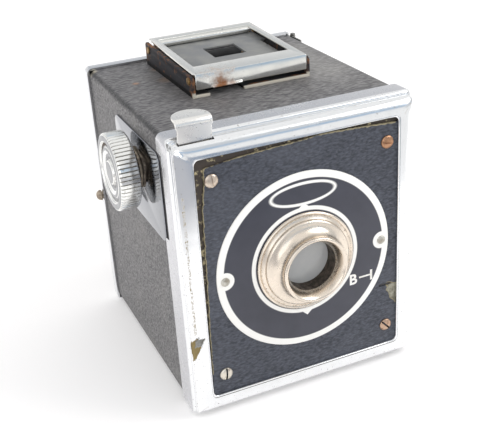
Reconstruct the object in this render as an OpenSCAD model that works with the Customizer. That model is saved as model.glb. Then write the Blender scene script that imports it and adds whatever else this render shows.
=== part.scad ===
// Metal box camera for square pictures on roll film, in millimetres.
// It stands on the z = 0 plane. The origin is on that plane, under the lens axis,
// at the middle of the flat band that the front bezel stands on.
// The front faces -Y and the winding knob is on the -X side.
// Inside camera_frame(), x and z are measured from the lens axis, and y is the depth
// behind the face of the front panel.

/* [Case] */
// Width over the covering
case_w = 74.6; // [74:0.2:90]
// Height over the covering
case_h = 86.4; // [86:0.2:100]
// Depth from the panel's face to the sleeve's open rear edge
case_l = 79; // [78.6:0.2:95]
// Radius of the sleeve's long edges over the covering
case_corner = 2.2; // [1.6:0.1:4]
// Thickness of the steel sleeve
shell_t = 0.8; // [0.5:0.1:1.2]
// Thickness of the leathercloth
cover_t = 0.5; // [0.3:0.1:0.7]
// Width of the flange turned in at the sleeve's front
shell_flange = 4; // [2.5:0.1:4.5]

/* [Front bezel] */
// Thickness of the plated bezel
bezel_t = 0.8; // [0.5:0.1:1]
// Radius of the quarter-round moulding
moulding_r = 5.8; // [4.6:0.1:6]
// Height of the moulding's crest ahead of the panel
bezel_crest = 0.8; // [0.5:0.1:1.4]
// Depth of the bezel's rear edge
bezel_back = 13.4; // [12:0.1:13.6]
// Rounding of the mitred corners
bezel_corner = 2; // [1.4:0.1:3]
// Width of the plated border at the sides
border_w = 6.6; // [6:0.1:8]
// Mean width of the plated border at the top and the bottom
border_h = 6.4; // [6.2:0.1:8]
// Height of the opening's centre above the lens axis
opening_up = 0.4; // [0:0.1:0.5]
// Corner radius of the opening
opening_corner = 2.4; // [1:0.1:4]

/* [Front panel] */
// Thickness of the front panel
panel_t = 0.8; // [0.5:0.1:0.9]
// Reach of the panel under the bezel's lip
panel_reach = 1.7; // [1:0.1:2.2]
// Distance of the panel screws from the opening's sides
screw_in = 4.2; // [4:0.1:5.5]
// Distance of the panel screws from the opening's top and bottom
screw_down = 6.4; // [5.6:0.1:7.6]
// Radius of the screw heads
screw_head_r = 2; // [1.6:0.1:2.4]
// Radius of the screw shanks
screw_r = 1.1; // [0.8:0.1:1.3]
// Radius of the posts that the screws pass through
post_r = 2.6; // [2.1:0.1:2.8]

/* [Name plate] */
// Margin between the round plate and the opening's sides
name_plate_margin = 3.5; // [3.1:0.1:7]
// Thickness of that plate
name_plate_t = 0.35; // [0.2:0.05:0.5]
// Distance of its two pins from the plate's edge
name_pin_in = 2.55; // [2.4:0.05:5]
// Radius of the pins' heads
name_pin_r = 1.1; // [0.8:0.1:1.4]

/* [Lens hood] */
// Radius of the hood's base flange
hood_r = 15.5; // [14.8:0.1:16.4]
// Thickness of the base flange
hood_flange_t = 1.2; // [0.8:0.1:1.6]
// Radius of the hood's neck behind the rim
hood_neck_r = 9.7; // [9.4:0.1:10.1]
// Outside radius of the rim
rim_r = 10.2; // [10.2:0.1:11]
// Length of the rim's straight outside
rim_l = 2; // [1.4:0.1:2.4]
// Length of the hood ahead of its base
hood_l = 7.3; // [6.8:0.1:9]
// Radius of the hole that the lens looks through
hood_bore_r = 7; // [5.6:0.1:7.2]
// Radius of the lens
lens_r = 7.6; // [7.4:0.1:7.8]
// Thickness of the lens at its edge
lens_edge_t = 0.9; // [0.6:0.1:1]
// Wall of the tube that holds the lens
hood_tube_t = 0.5; // [0.4:0.1:0.8]

/* [Shutter] */
// Depth of the shutter plate's front
shutter_depth = 6.5; // [6.3:0.1:7]
// Thickness of the shutter plate
shutter_plate_t = 0.8; // [0.6:0.1:1]
// Radius of the aperture
aperture_r = 3.2; // [2:0.1:3.4]
// Radius of the shutter disc
disc_r = 19; // [18:0.1:20]
// Thickness of the shutter disc
disc_t = 0.4; // [0.3:0.1:0.6]
// Position of the disc's pivot to the left of the lens axis
pivot_left = 10; // [9:0.5:11]
// Position of the disc's pivot below the lens axis
pivot_down = 9; // [8:0.5:10]
// Turn of the disc for one press of the release
shutter_turn = 80; // [76:1:84]
// Radius of the pivot
pivot_r = 1.5; // [1:0.1:1.8]

/* [Release and selector] */
// Distance of the release's centre from the opening's left side
release_in = 1.55; // [1.4:0.05:1.7]
// Width of the release's neck
release_w = 9.7; // [8.6:0.1:9.8]
// Width of the thumb piece
thumb_w = 10.4; // [9.8:0.1:12.4]
// Depth of the thumb piece from front to back
thumb_l = 7.8; // [6:0.1:9]
// Height of the thumb piece above the bezel's top
thumb_up = 5.4; // [5.2:0.1:8]
// Thickness of the release strip
release_t = 0.9; // [0.7:0.1:1]
// Travel of the release
release_travel = 3; // [2:0.1:3.2]
// Distance of the time and instant tab from the opening's right side
selector_in = 4.7; // [4.3:0.1:6.5]
// Distance of that tab below the lens axis
selector_down = 16.1; // [14:0.1:18]
// Width of the tab
selector_w = 3; // [2:0.1:3.4]
// Thickness of the tab
selector_t = 0.5; // [0.4:0.1:0.7]
// Travel of the tab
selector_travel = 3.2; // [2:0.1:3.3]

/* [Winder] */
// Depth of the winding axis
winder_depth = 33; // [31:0.1:34]
// Height of the winding axis above the lens axis
winder_up = 26; // [25:0.1:27]
// Radius of the knob over its ribs
knob_r = 11.7; // [10:0.1:11.9]
// Length of the knob
knob_l = 6.3; // [6.2:0.1:9]
// Gap between the knob and its plate
knob_gap = 2.2; // [1.6:0.1:3]
// Number of ribs round the knob
knob_ribs = 60; // [40:1:72]
// Depth of the grooves between the ribs
rib_depth = 0.45; // [0.3:0.05:0.7]
// Pull of the knob that frees the spool
knob_travel = 6; // [4.6:0.1:6.2]
// Radius of the winding shaft
shaft_r = 2; // [1.6:0.1:2.1]
// Thickness of the plate behind the knob
knob_plate_t = 0.5; // [0.3:0.1:0.8]
// Length of that plate
knob_plate_l = 38; // [36:0.5:42]
// Height of that plate
knob_plate_h = 27.8; // [26:0.1:29]
// Distance of the plate's centre below the winding axis
knob_plate_down = 1.9; // [1:0.1:3]

/* [Film] */
// Width of the film that stays covered at each side of the square picture
film_edge = 4.7; // [4.5:0.1:7]
// Room between each end of the spool and the sleeve
spool_room = 3.3; // [3:0.1:4]
// Radius of the spool's flanges
spool_flange_r = 11.3; // [10:0.1:11.8]
// Thickness of the spool's flanges
spool_flange_t = 0.8; // [0.5:0.1:1]
// Radius of the spool's core
spool_core_r = 3.4; // [3:0.1:4]
// Thickness of the carrier's sheet
carrier_t = 0.8; // [0.6:0.1:1]
// Radius of the film rollers
roller_r = 2; // [1.6:0.1:2.1]
// Radius of their journals
journal_r = 0.9; // [0.6:0.1:1.1]

/* [Finder] */
// Position of the finder's centre to the right of the lens axis
finder_x = 0.95; // [0:0.05:2]
// Distance from the finder's rear edge to the sleeve's rear edge
finder_rear = 3.4; // [2:0.1:5]
// Length of the finder
finder_l = 42.6; // [42:0.1:44]
// Width over the side walls
finder_w = 38.6; // [37:0.1:41]
// Height of the side walls at the front
finder_wall_h = 6.2; // [6.1:0.1:6.3]
// Slope of the folded leaves
finder_tilt = 1.8; // [0:0.1:2.4]
// Thickness of the base's sheet
finder_base_t = 0.8; // [0.6:0.1:0.9]
// Thickness of the leaves' sheet
leaf_t = 0.7; // [0.5:0.1:0.75]
// Width of the frame leaf's front bar
front_bar = 7.5; // [6.5:0.1:7.6]
// Width of the frame leaf's side bars
side_bar = 2.35; // [1.8:0.05:2.8]
// Width of the frame leaf's rear bar
rear_bar = 3.4; // [3.2:0.1:3.6]
// Side of the sight hole
sight_hole = 10.8; // [8:0.1:12]
// Radius of the hinge pins
leaf_pin_r = 0.75; // [0.6:0.05:0.8]

/* [Back] */
// Depth of the plated trim round the back
trim_l = 3.4; // [3.2:0.1:4]
// Width of the lip that the trim turns over the back
trim_lip = 3.2; // [2.4:0.1:5]
// Thickness of the trim
trim_t = 0.8; // [0.6:0.1:1]
// Thickness of the door's sheet
door_t = 0.8; // [0.6:0.1:0.9]
// Reach of the door's rim into the sleeve
door_rim = 2.5; // [1.5:0.1:2.6]
// Radius of the red window
window_r = 4.5; // [3.5:0.1:5.5]
window_lap = 1.5; // [1:0.1:2]
ring_lip = 1.6; // [1.2:0.1:2]
ring_t = 0.6; // [0.4:0.1:0.8]
plate_corner_r = 2; // [1:0.5:3]
// Radius of the hinge's knuckles
knuckle_r = 1; // [0.9:0.05:1.1]
// Radius of the hinge's pin
hinge_pin_r = 0.5; // [0.4:0.05:0.55]
// Height of the door pull below the lens axis
pull_down = 2; // [0:0.5:6]
// Radius of the door pull
pull_r = 1.9; // [1.2:0.1:2.2]

/* [Fits] */
// Radial clearance of turning fits
running = 0.05; // [0.02:0.01:0.08]
// Gap beside a sliding or swinging piece
slide_gap = 0.2; // [0.12:0.01:0.24]
// Gap between curved pieces that only pass each other
loose = 0.3; // [0.22:0.01:0.34]

/* [Hidden] */
$fn = 64;
cut = 1;                                       // how far a cutting solid runs past a face

bezel_w = case_w + 2 * bezel_t;
bezel_h = case_h + 2 * bezel_t;
steel_w = case_w - 2 * cover_t;
steel_h = case_h - 2 * cover_t;
steel_corner = case_corner - cover_t;
inner_w = steel_w - 2 * shell_t;
inner_h = steel_h - 2 * shell_t;
origin_depth = (moulding_r - bezel_crest + bezel_back) / 2;
sleeve_front = shutter_depth + shutter_plate_t;
cover_front = sleeve_front + 0.9;

opening_w = bezel_w - 2 * border_w;
opening_h = bezel_h - 2 * border_h;
panel_w = opening_w + 2 * panel_reach;
panel_h = opening_h + 2 * panel_reach;
panel_back = cover_t + panel_t;
cover_reach = 0.2;                             // reach of the front covering under the bezel's lip
screw_x = opening_w / 2 - screw_in;
screw_z = opening_h / 2 - screw_down;
screws = [for (sx = [-1, 1]) for (sz = [-1, 1]) [sx * screw_x, opening_up + sz * screw_z]];
screw_head_h = 0.9;
screw_slot_w = 0.55;
name_plate_r = opening_w / 2 - name_plate_margin;
name_pin_x = name_plate_r - name_pin_in;

lens_seat = 0.2;                               // depth of the shoulder that the lens rests on
hood_tube_r = lens_r + running + hood_tube_t;
lens_back = lens_seat + lens_edge_t;
lens_ring_t = 0.4;
front_curve_r = 60;
back_curve_r = 30;
lens_sag = back_curve_r - sqrt(pow(back_curve_r, 2) - pow(lens_r, 2));
front_sag = front_curve_r - sqrt(pow(front_curve_r, 2) - pow(lens_r, 2));

aperture_rim = 4.8;                            // width of the aperture plate round its hole
disc_front = 4.4;
hub_r = pivot_r + 1.5;
spring_leg = 9;
hub_front = disc_front - 0.5;
hub_back = disc_front + disc_t + 0.8;
slot_r = sqrt(pow(pivot_left, 2) + pow(pivot_down, 2));
lens_angle = atan2(pivot_down, pivot_left);
slot_half_r = aperture_r + 0.4;
slot_sweep = 42;                               // angle between the slot's straight ends

release_x = opening_w / 2 - release_in;
release_y = panel_back + loose;
release_strip_w = 4;
release_left = -release_x - release_w / 2;
strip_x = release_left + 0.4 + release_strip_w / 2;
post_top = opening_up + screw_z + post_r;
shoulder_z = post_top + release_travel + loose;
shoulder_top = bezel_h / 2 - moulding_r - slide_gap
    + sqrt(pow(moulding_r - bezel_t, 2) - pow(moulding_r - bezel_crest - release_y, 2));
shoulder_over = 0.55;                          // how far the shoulder is wider than its slot
slot_side = 0.2;
neck_z = bezel_h / 2 - 0.9;                    // height of the slot's mouth in the moulding
thumb_z = bezel_h / 2 + thumb_up;
bend_r = 2;
lug_z = shoulder_z - 9.5;
lug_t = 0.8;
release_spring_l = 14;
ear_t = 0.8;
ear_z = lug_z - release_spring_l - ear_t;
ear_back = shutter_depth - 0.9;
spring_y = release_y + release_t + 1.8;
spring_r = 1.3;
spring_wire = 0.4;

selector_x = opening_w / 2 - selector_in;
selector_front = 0.1;
selector_ear = 1;                              // reach of the tab's ears to each side
selector_ear_t = 0.5;
selector_ear_y = shutter_depth - 0.1 - selector_ear_t;
selector_tail = sleeve_front + 2.6;
selector_slot_w = selector_w + 2 * slide_gap;
selector_slot_t = selector_t + 2 * slide_gap;

covering_x = case_w / 2;
plate_face = covering_x + knob_plate_t;        // outer face of the knob plate, to the left
knob_back = plate_face + knob_gap;
knob_face = knob_back + knob_l;
knob_web = 2;
collar_r = 3.1;
collar_t = 0.6;
bush_inner = inner_w / 2 - 0.4;
bush_bore_end = bush_inner + 0.4 + collar_t + knob_travel + loose;
bush_cap_t = 0.6;
bush_wall = 1.05;
bush_r = collar_r + running + bush_wall;
bush_flange_w = 2;
bush_flange_r = bush_r + bush_flange_w;
bush_flange_t = 0.8;
washer_t = 0.5;
washer_r = 3.8;
cup_floor = knob_face - knob_web;
cup_r = bush_r + 0.6;
core_bore_r = shaft_r + running;
key_w = 5.8;
key_t = 0.9;
key_slot_t = 1.2;
key_depth = 3.4;
knob_plate_up = winder_up - knob_plate_down;
knob_boss_r = 0.31 * knob_r;
knob_groove = [0.615 * knob_r, 0.785 * knob_r];
plate_front = bezel_back + slide_gap;
notch_depth = bezel_back - 4.1;
plate_corner = 3;

spool_l = inner_w - 2 * spool_room;
picture = spool_l - 2 * film_edge;
side_in = spool_l / 2 + 0.55;                  // inner face of the carrier's side plates
side_out = side_in + carrier_t;
carrier_half_h = inner_h / 2 - 1.7;
film_y = case_l - 2;                           // rear face of the film gate
gate_front = film_y - carrier_t;
cone_front = selector_tail + loose;
cone_mouth = 4.5;
cone_end = picture / 2 + 0.2;
cone_wall = 0.6;
gate_half_h = picture / 2 + 1.6;
roller_z = gate_half_h + roller_r + 0.8;
roller_y = film_y - roller_r;
roller_half = side_in - 0.65;
spool_pin_r = shaft_r;
spool_pin_head_r = spool_pin_r + 1;
spool_pin_end = side_in - 3.75;
flange_out = spool_l / 2;
bow_t = 0.4;
bow_w = 12;
bow_rise = 7;
bow_half = 10;
bow_r = (bow_half * bow_half + bow_rise * bow_rise) / (2 * bow_rise);
cone_plate_h = 2 * (winder_up + bow_half);

door_front = case_l + 1.6;
door_back = door_front + door_t;
trim_front = case_l + loose;
trim_back = trim_front + trim_l;
trim_right = case_w / 2 - 0.7;                 // where the trim stops beside the hinge
rim_out_w = inner_w - 2 * loose;
rim_out_h = inner_h - 2 * loose;
rim_t = 0.8;
rim_front = case_l - door_rim;
hinge_x = case_w / 2 + 0.7;
hinge_y = door_front - 0.3;
hinge_leaf_t = cover_t;
hinge_leaf_l = 7;
hinge_half_h = case_h / 2 - 0.2;
hinge_parts = 5;
hinge_part_h = 2 * hinge_half_h / hinge_parts;
pressure_front = film_y + loose;
pressure_t = 0.6;
pressure_half = picture / 2 + 1.6;
press_bow_rise = door_front - pressure_front - pressure_t;
press_bow_half = 12;
press_bow_w = 6;
press_bow_x = 17;
press_bow_r = (press_bow_half * press_bow_half + press_bow_rise * press_bow_rise)
    / (2 * press_bow_rise);
catch_half = 5;
catch_l = 10.6;
catch_t = 0.5;

finder_front = case_l - finder_rear - finder_l;
wall_t = 0.9;
channel = finder_w / 2 - wall_t;               // half the room between the finder's walls
leaf_half = channel - 0.25;
leaf_top = finder_wall_h + 1;
leaf_under = leaf_top - leaf_t;
front_pin_u = 2.8;
front_pin_h = 4.6;
ear_t_leaf = 0.6;
ear_r = 1.6;
flange_low = 2.4;
thumb_lip_x = -8.3;                            // centre of the thumb lip, from the finder's centre
thumb_lip_w = 9.7;
thumb_lip_l = 0.8;
window_half = leaf_half - side_bar;
window_end = finder_l - rear_bar;
rear_lip_low = leaf_under - 1.3;
rear_pin_u = window_end + 0.4;
rear_pin_h = 4.2;
sight_top = rear_lip_low - slide_gap;
sight_under = sight_top - leaf_t;
sight_half = window_half - loose;
sight_tip = front_bar + 0.7;
sight_wide_l = 10;
sight_wide_half = leaf_half - ear_t_leaf - 0.25;
sight_end = rear_pin_u - 1.4;
sight_ear_r = 1.4;
sight_hole_u = 0.56 * finder_l;
sight_hole_x = 1;
coil_left = 16;
coil_l = 5;
rivet_r = 0.7;
rivet_head_r = 1.2;
rivets = [for (rx = [-0.31, 0.31]) for (ru = [0.26, 0.77])
    [finder_x + rx * finder_w, finder_front + ru * finder_l]];

// From the lens axis and the panel's face to the standing frame
module camera_frame() translate([0, -origin_depth, bezel_h / 2]) children();

// Flat shape with rounded corners, drawn from squares and circles
module rounded(w, h, r) {
    square([w - 2 * r, h], center = true);
    square([w, h - 2 * r], center = true);
    for (sx = [-1, 1])
        for (sy = [-1, 1])
            translate([sx * (w / 2 - r), sy * (h / 2 - r)]) circle(r);
}

// An (x, z) shape run from depth y0 to depth y1
module along_y(y0, y1)
    translate([0, y1, 0]) rotate([90, 0, 0]) linear_extrude(y1 - y0) children();

// A (y, z) shape run from x0 to x1
module along_x(x0, x1)
    translate([x0, 0, 0]) rotate([90, 0, 90]) linear_extrude(x1 - x0) children();

// An (x, y) shape run from z0 to z1
module along_z(z0, z1) translate([0, 0, z0]) linear_extrude(z1 - z0) children();

// A (radius, distance forward) profile turned about an axis that points forward
module turned_forward(x = 0, z = 0)
    translate([x, 0, z]) rotate([90, 0, 0]) rotate_extrude() children();

// A (radius, distance to the left) profile turned about the winding axis
module turned_left(y = winder_depth, z = winder_up)
    translate([0, y, z]) rotate([0, -90, 0]) rotate_extrude() children();

// A flat ring of the profile plane: radii r0 to r1, distances h0 to h1
module band(r0, r1, h0, h1) translate([r0, h0]) square([r1 - r0, h1 - h0]);

// Round bar along x
module bar_x(r, x0, x1, y, z)
    translate([x0, y, z]) rotate([0, 90, 0]) cylinder(r = r, h = x1 - x0);

// Round bar along y
module bar_y(r, y0, y1, x, z)
    translate([x, y1, z]) rotate([90, 0, 0]) cylinder(r = r, h = y1 - y0);

// Case

module sleeve_hole(extra) bar_x(bush_r + extra, -case_w, -inner_w / 4, winder_depth, winder_up);

module rivet_holes()
    for (p = rivets)
        translate([p[0], p[1], inner_h / 2 - cut])
            cylinder(r = rivet_r + running, h = case_h / 2 - inner_h / 2 + 2 * cut);

module body_shell() color("dimgray") camera_frame() difference() {
    along_y(sleeve_front, case_l) rounded(steel_w, steel_h, steel_corner);
    along_y(sleeve_front + shell_t, case_l + cut)
        rounded(inner_w, inner_h, max(steel_corner - shell_t, 0.4));
    along_y(sleeve_front - cut, case_l)
        rounded(steel_w - 2 * shell_flange, steel_h - 2 * shell_flange, steel_corner);
    sleeve_hole(running);
    rivet_holes();
}

module body_covering() color("#2b2b2d") camera_frame() difference() {
    along_y(cover_front, case_l) rounded(case_w, case_h, case_corner);
    along_y(cover_front - cut, case_l + cut) rounded(steel_w, steel_h, steel_corner);
    sleeve_hole(running);
    rivet_holes();
    translate([steel_w / 2 - cover_t, case_l - hinge_leaf_l - slide_gap, -hinge_half_h - slide_gap])
        cube([2 * cover_t + cut, hinge_leaf_l + cut + 1, 2 * (hinge_half_h + slide_gap)]);
}

// Section of the bezel, as (across, depth), with its quarter-round shoulders
module bezel_section(half, r, front, back) {
    translate([-half, front + r]) square([2 * half, back - front - r]);
    translate([-(half - r), front]) square([2 * (half - r), 2 * r]);
    for (side = [-1, 1])
        translate([side * (half - r), front + r]) circle(r);
}

// The bezel's outer form, or its hollow when it is inset by the sheet's thickness
module bezel_form(inset, back) {
    half_w = bezel_w / 2 - inset;
    half_h = bezel_h / 2 - inset;
    r = moulding_r - inset;
    front = inset - bezel_crest;
    intersection() {
        along_z(-half_h, half_h) bezel_section(half_w, r, front, back);
        along_x(-half_w, half_w) mirror([1, -1]) bezel_section(half_h, r, front, back);
        along_y(front, back) rounded(2 * half_w, 2 * half_h, bezel_corner - inset / 2);
    }
}

module front_bezel() color("silver") camera_frame() difference() {
    bezel_form(0, bezel_back);
    bezel_form(bezel_t, bezel_back + cut);
    translate([0, 0, opening_up])
        along_y(-bezel_crest - cut, bezel_t) rounded(opening_w, opening_h, opening_corner);
    translate([release_left - slot_side, release_y - slide_gap, opening_h / 2 + opening_up + 1])
        cube([release_w + 2 * slot_side, release_t + 2 * slide_gap, bezel_h / 2]);
    translate([-bezel_w / 2 - cut, notch_depth, knob_plate_up - knob_plate_h / 2 + 2.6])
        cube([bezel_t + cut, bezel_back, knob_plate_h - 1.8]);
}

// Front panel

module selector_slot(y0, y1)
    translate([selector_x - selector_slot_w / 2, y0, -selector_down - selector_slot_t / 2])
        cube([selector_slot_w, y1 - y0, selector_slot_t]);

module front_panel() color("gray") camera_frame() difference() {
    translate([0, 0, opening_up])
        along_y(cover_t, panel_back) rounded(panel_w, panel_h, opening_corner + panel_reach);
    bar_y(hood_tube_r + running, 0, panel_back + cut, 0, 0);
    for (p = screws)
        bar_y(screw_r + running, 0, panel_back + cut, p[0], p[1]);
    for (side = [-1, 1])
        bar_y(name_pin_r / 2 + running, 0, panel_back + cut, side * name_pin_x, 0);
    selector_slot(0, panel_back + cut);
}

module front_covering() color("#3a3d45") camera_frame() difference() {
    translate([0, 0, opening_up])
        along_y(0, cover_t)
            rounded(opening_w + 2 * cover_reach, opening_h + 2 * cover_reach, opening_corner);
    bar_y(hood_tube_r + running, -cut, cover_t + cut, 0, 0);
    for (p = screws)
        bar_y(screw_r + running, -cut, cover_t + cut, p[0], p[1]);
    for (side = [-1, 1])
        bar_y(name_pin_r / 2 + running, -cut, cover_t + cut, side * name_pin_x, 0);
    selector_slot(-cut, cover_t + cut);
}

module name_plate() color("#45454f") camera_frame() difference() {
    bar_y(name_plate_r, -name_plate_t, 0, 0, 0);
    bar_y(hood_tube_r + running, -cut, cut, 0, 0);
    for (side = [-1, 1])
        bar_y(name_pin_r / 2 + running, -cut, cut, side * name_pin_x, 0);
}

module name_plate_pins() color("silver") camera_frame()
    for (side = [-1, 1])
        turned_forward(side * name_pin_x) {
            band(0, name_pin_r / 2, -panel_back - loose, name_plate_t);
            intersection() {
                band(0, name_pin_r, name_plate_t, name_plate_t + 0.5);
                translate([0, name_plate_t - name_pin_r]) circle(name_pin_r * 1.45);
            }
        }

module panel_screws() color("goldenrod") camera_frame()
    for (p = screws)
        difference() {
            turned_forward(p[0], p[1]) {
                band(0, screw_r, -sleeve_front, 0);
                intersection() {
                    band(0, screw_head_r, 0, screw_head_h);
                    translate([0, screw_head_h - 1.6 * screw_head_r]) circle(1.6 * screw_head_r);
                }
            }
            translate([p[0], -screw_head_h, p[1]]) rotate([0, 30, 0])
                cube([3 * screw_head_r, 0.9, screw_slot_w], center = true);
        }

module panel_posts() color("gray") camera_frame()
    for (p = screws)
        turned_forward(p[0], p[1])
            band(screw_r + running, post_r, -shutter_depth, -panel_back);

// Lens

module hood_profile() {
    top = name_plate_t + hood_l;
    shoulder = name_plate_t + hood_flange_t;
    cove_r = 1.6;
    difference() {
        union() {
            band(hood_bore_r, hood_r - 0.4, name_plate_t, shoulder);
            band(hood_bore_r, hood_r, name_plate_t, shoulder - 0.4);
            translate([hood_r - 0.4, shoulder - 0.4]) circle(0.4);
            band(hood_bore_r, hood_r - 2.1, shoulder, shoulder + 0.9);
            translate([hood_r - 2.9, shoulder + 0.9]) circle(0.8);
            band(hood_bore_r, hood_r - 2.9, shoulder, shoulder + 1.7);
            band(hood_bore_r, hood_neck_r + cove_r, shoulder, shoulder + 1.7 + cove_r);
            band(hood_bore_r, hood_neck_r, shoulder, top - rim_l);
            band(hood_bore_r, rim_r, top - rim_l, top);
            band(hood_bore_r, hood_tube_r, -panel_back - 0.4, name_plate_t);
        }
        translate([hood_neck_r + cove_r, shoulder + 1.7 + cove_r]) circle(cove_r);
        polygon([[hood_bore_r - cut, top - 3.1 - cut * 1.24], [rim_r - 0.7, top],
            [rim_r - 0.7, top + cut], [hood_bore_r - cut, top + cut]]);
        band(0, lens_r + running, -panel_back - cut, -lens_seat);
    }
    band(lens_r + running, hood_tube_r + 0.7, -panel_back - 0.4, -panel_back);
}

module lens_hood() color("#d8cfc0") camera_frame() turned_forward() hood_profile();

module lens() color([0.75, 0.8, 0.85, 0.5]) camera_frame() turned_forward() intersection() {
    difference() {
        band(0, lens_r, -lens_back - lens_sag, -lens_seat);
        translate([0, -lens_seat + front_curve_r - front_sag]) circle(front_curve_r, $fn = 256);
    }
    translate([0, -lens_back - lens_sag + back_curve_r]) circle(back_curve_r, $fn = 256);
}

module lens_ring() color("#222222") camera_frame() turned_forward()
    band(lens_r - 0.9, lens_r + running, -lens_back - lens_sag / 3 - lens_ring_t, -lens_back - lens_sag / 3);

// Shutter

module aperture_plate() color("#222222") camera_frame() turned_forward()
    band(aperture_r, aperture_r + aperture_rim, -sleeve_front - 0.4, -sleeve_front);

module shutter_plate() color("#444444") camera_frame() {
    difference() {
        along_y(shutter_depth, sleeve_front) rounded(steel_w, steel_h, steel_corner);
        bar_y(aperture_r + 2.3, 0, case_l, 0, 0);
        for (p = screws)
            bar_y(screw_r + running, 0, case_l, p[0], p[1]);
        bar_y(pivot_r + running, 0, case_l, -pivot_left, -pivot_down);
        selector_slot(0, case_l);
    }
    translate([strip_x - 1.6, spring_y - spring_r, lug_z])
        cube([3.2, shutter_depth - spring_y + spring_r, lug_t]);
}

module disc_slot() intersection() {
    centre = lens_angle - shutter_turn / 2;
    difference() {
        circle(slot_r + slot_half_r);
        circle(slot_r - slot_half_r);
    }
    polygon([[0, 0], for (a = [-1, 1])
        3 * slot_r * [cos(centre + a * slot_sweep / 2), sin(centre + a * slot_sweep / 2)]]);
}

module shutter_disc() color("#333333") camera_frame() translate([-pivot_left, 0, -pivot_down])
    difference() {
        union() {
            along_y(disc_front, disc_front + disc_t) difference() {
                circle(disc_r);
                disc_slot();
            }
            bar_y(hub_r, hub_front, hub_back, 0, 0);
        }
        bar_y(pivot_r + running, 0, case_l, 0, 0);
    }

module shutter_pivot() color("silver") camera_frame()
    turned_forward(-pivot_left, -pivot_down) {
        band(0, pivot_r, -sleeve_front, -hub_front + slide_gap);
        band(0, hub_r - 0.6, -hub_front + 0.1, -hub_front + 0.7);
        band(0, hub_r - 0.6, -shutter_depth, -hub_back - 0.1);
    }

module shutter_spring() color("silver") camera_frame() {
    turned_forward(-pivot_left, -pivot_down)
        band(hub_r - 0.4, hub_r + 0.4, -shutter_depth, -hub_back - 0.1);
    translate([-pivot_left + hub_r, hub_back + 0.1, -pivot_down])
        cube([spring_leg, shutter_depth - hub_back - 0.1, 0.5]);
}

// Release and selector

module release_front() {
    neck_top = neck_z + 0.6 + release_travel;
    translate([strip_x - release_strip_w / 2, ear_z])
        square([release_strip_w, shoulder_top - ear_z]);
    translate([release_left - shoulder_over, shoulder_z])
        square([release_w + 2 * shoulder_over, shoulder_top - shoulder_z]);
    translate([release_left, shoulder_z]) square([release_w, neck_top - shoulder_z]);
    translate([-release_x, 0]) polygon([[-release_w / 2, neck_top - 0.2], [-release_w / 2, neck_top],
        [-thumb_w / 2, thumb_z - bend_r], [thumb_w / 2, thumb_z - bend_r],
        [release_w / 2, neck_top], [release_w / 2, neck_top - 0.2]]);
}

module release_lever() color("silver") camera_frame() {
    along_y(release_y, release_y + release_t) release_front();
    along_x(-release_x - thumb_w / 2, -release_x + thumb_w / 2)
        translate([release_y + bend_r, thumb_z - bend_r]) intersection() {
            difference() {
                circle(bend_r);
                circle(bend_r - release_t);
            }
            translate([-2 * bend_r, 0]) square(2 * bend_r);
        }
    along_z(thumb_z - release_t, thumb_z) translate([-release_x, release_y + bend_r]) intersection() {
        translate([0, thumb_l - bend_r - thumb_w / 2]) union() {
            circle(thumb_w / 2);
            translate([-thumb_w / 2, -thumb_w]) square([thumb_w, thumb_w]);
        }
        translate([-thumb_w, 0]) square(2 * thumb_w);
    }
    translate([strip_x - 1.5, release_y + release_t, ear_z])
        cube([3, ear_back - release_y - release_t, ear_t]);
}

module release_spring() color("silver") camera_frame() translate([strip_x, spring_y, ear_z + ear_t])
    difference() {
        cylinder(r = spring_r, h = lug_z - ear_z - ear_t);
        translate([0, 0, -cut]) cylinder(r = spring_r - spring_wire, h = lug_z);
    }

module time_selector() color("silver") camera_frame()
    translate([selector_x, 0, -selector_down - selector_t / 2]) {
        translate([-selector_w / 2, selector_front, 0])
            cube([selector_w, selector_tail - selector_front, selector_t]);
        translate([-selector_w / 2 - selector_ear, selector_ear_y, 0])
            cube([selector_w + 2 * selector_ear, selector_ear_t, selector_t]);
    }

// Film carrier

// Side plate outline, as (y, z), with the corners cut beside the shutter
module side_outline() {
    front = sleeve_front + shell_t;
    chamfer = 2 * spool_room - 1.6;
    polygon([[front, -carrier_half_h + chamfer], [front + chamfer, -carrier_half_h],
        [film_y, -carrier_half_h], [film_y, carrier_half_h],
        [front + chamfer, carrier_half_h], [front, carrier_half_h - chamfer]]);
}

module journal_holes()
    for (side = [-1, 1])
        bar_x(journal_r + running, -case_w, case_w, roller_y, side * roller_z);

module carrier_left_plate() color("gray") camera_frame() difference() {
    along_x(-side_out, -side_in) side_outline();
    journal_holes();
    bar_x(key_w / 2 + loose, -case_w, 0, winder_depth, winder_up);
    bar_x(spool_pin_r + running, -case_w, 0, winder_depth, -winder_up);
}

module carrier_right_plate() color("gray") camera_frame() difference() {
    along_x(side_in, side_out) side_outline();
    journal_holes();
    for (side = [-1, 1])
        bar_x(spool_pin_r + running, 0, case_w, winder_depth, side * winder_up);
}

// Four-sided frustum between two square sections, given as half sides at two depths
module frustum(y0, half0, y1, half1) polyhedron(
    points = [for (end = [[y0, half0], [y1, half1]])
        for (c = [[-1, -1], [1, -1], [1, 1], [-1, 1]]) [c[0] * end[1], end[0], c[1] * end[1]]],
    faces = [[3, 2, 1, 0], [4, 5, 6, 7], [0, 1, 5, 4], [1, 2, 6, 5], [2, 3, 7, 6], [3, 0, 4, 7]]);

module light_cone() color("#222222") camera_frame() {
    slope = (cone_end - cone_mouth) / (gate_front - cone_front);
    wall = cone_wall * sqrt(1 + slope * slope);
    difference() {
        union() {
            frustum(cone_front, cone_mouth + wall, gate_front, cone_end + wall);
            translate([-side_in, cone_front, -cone_plate_h / 2])
                cube([2 * side_in, cone_wall, cone_plate_h]);
        }
        frustum(cone_front - cut, cone_mouth - slope * cut, gate_front + cut, cone_end + slope * cut);
    }
}

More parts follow.
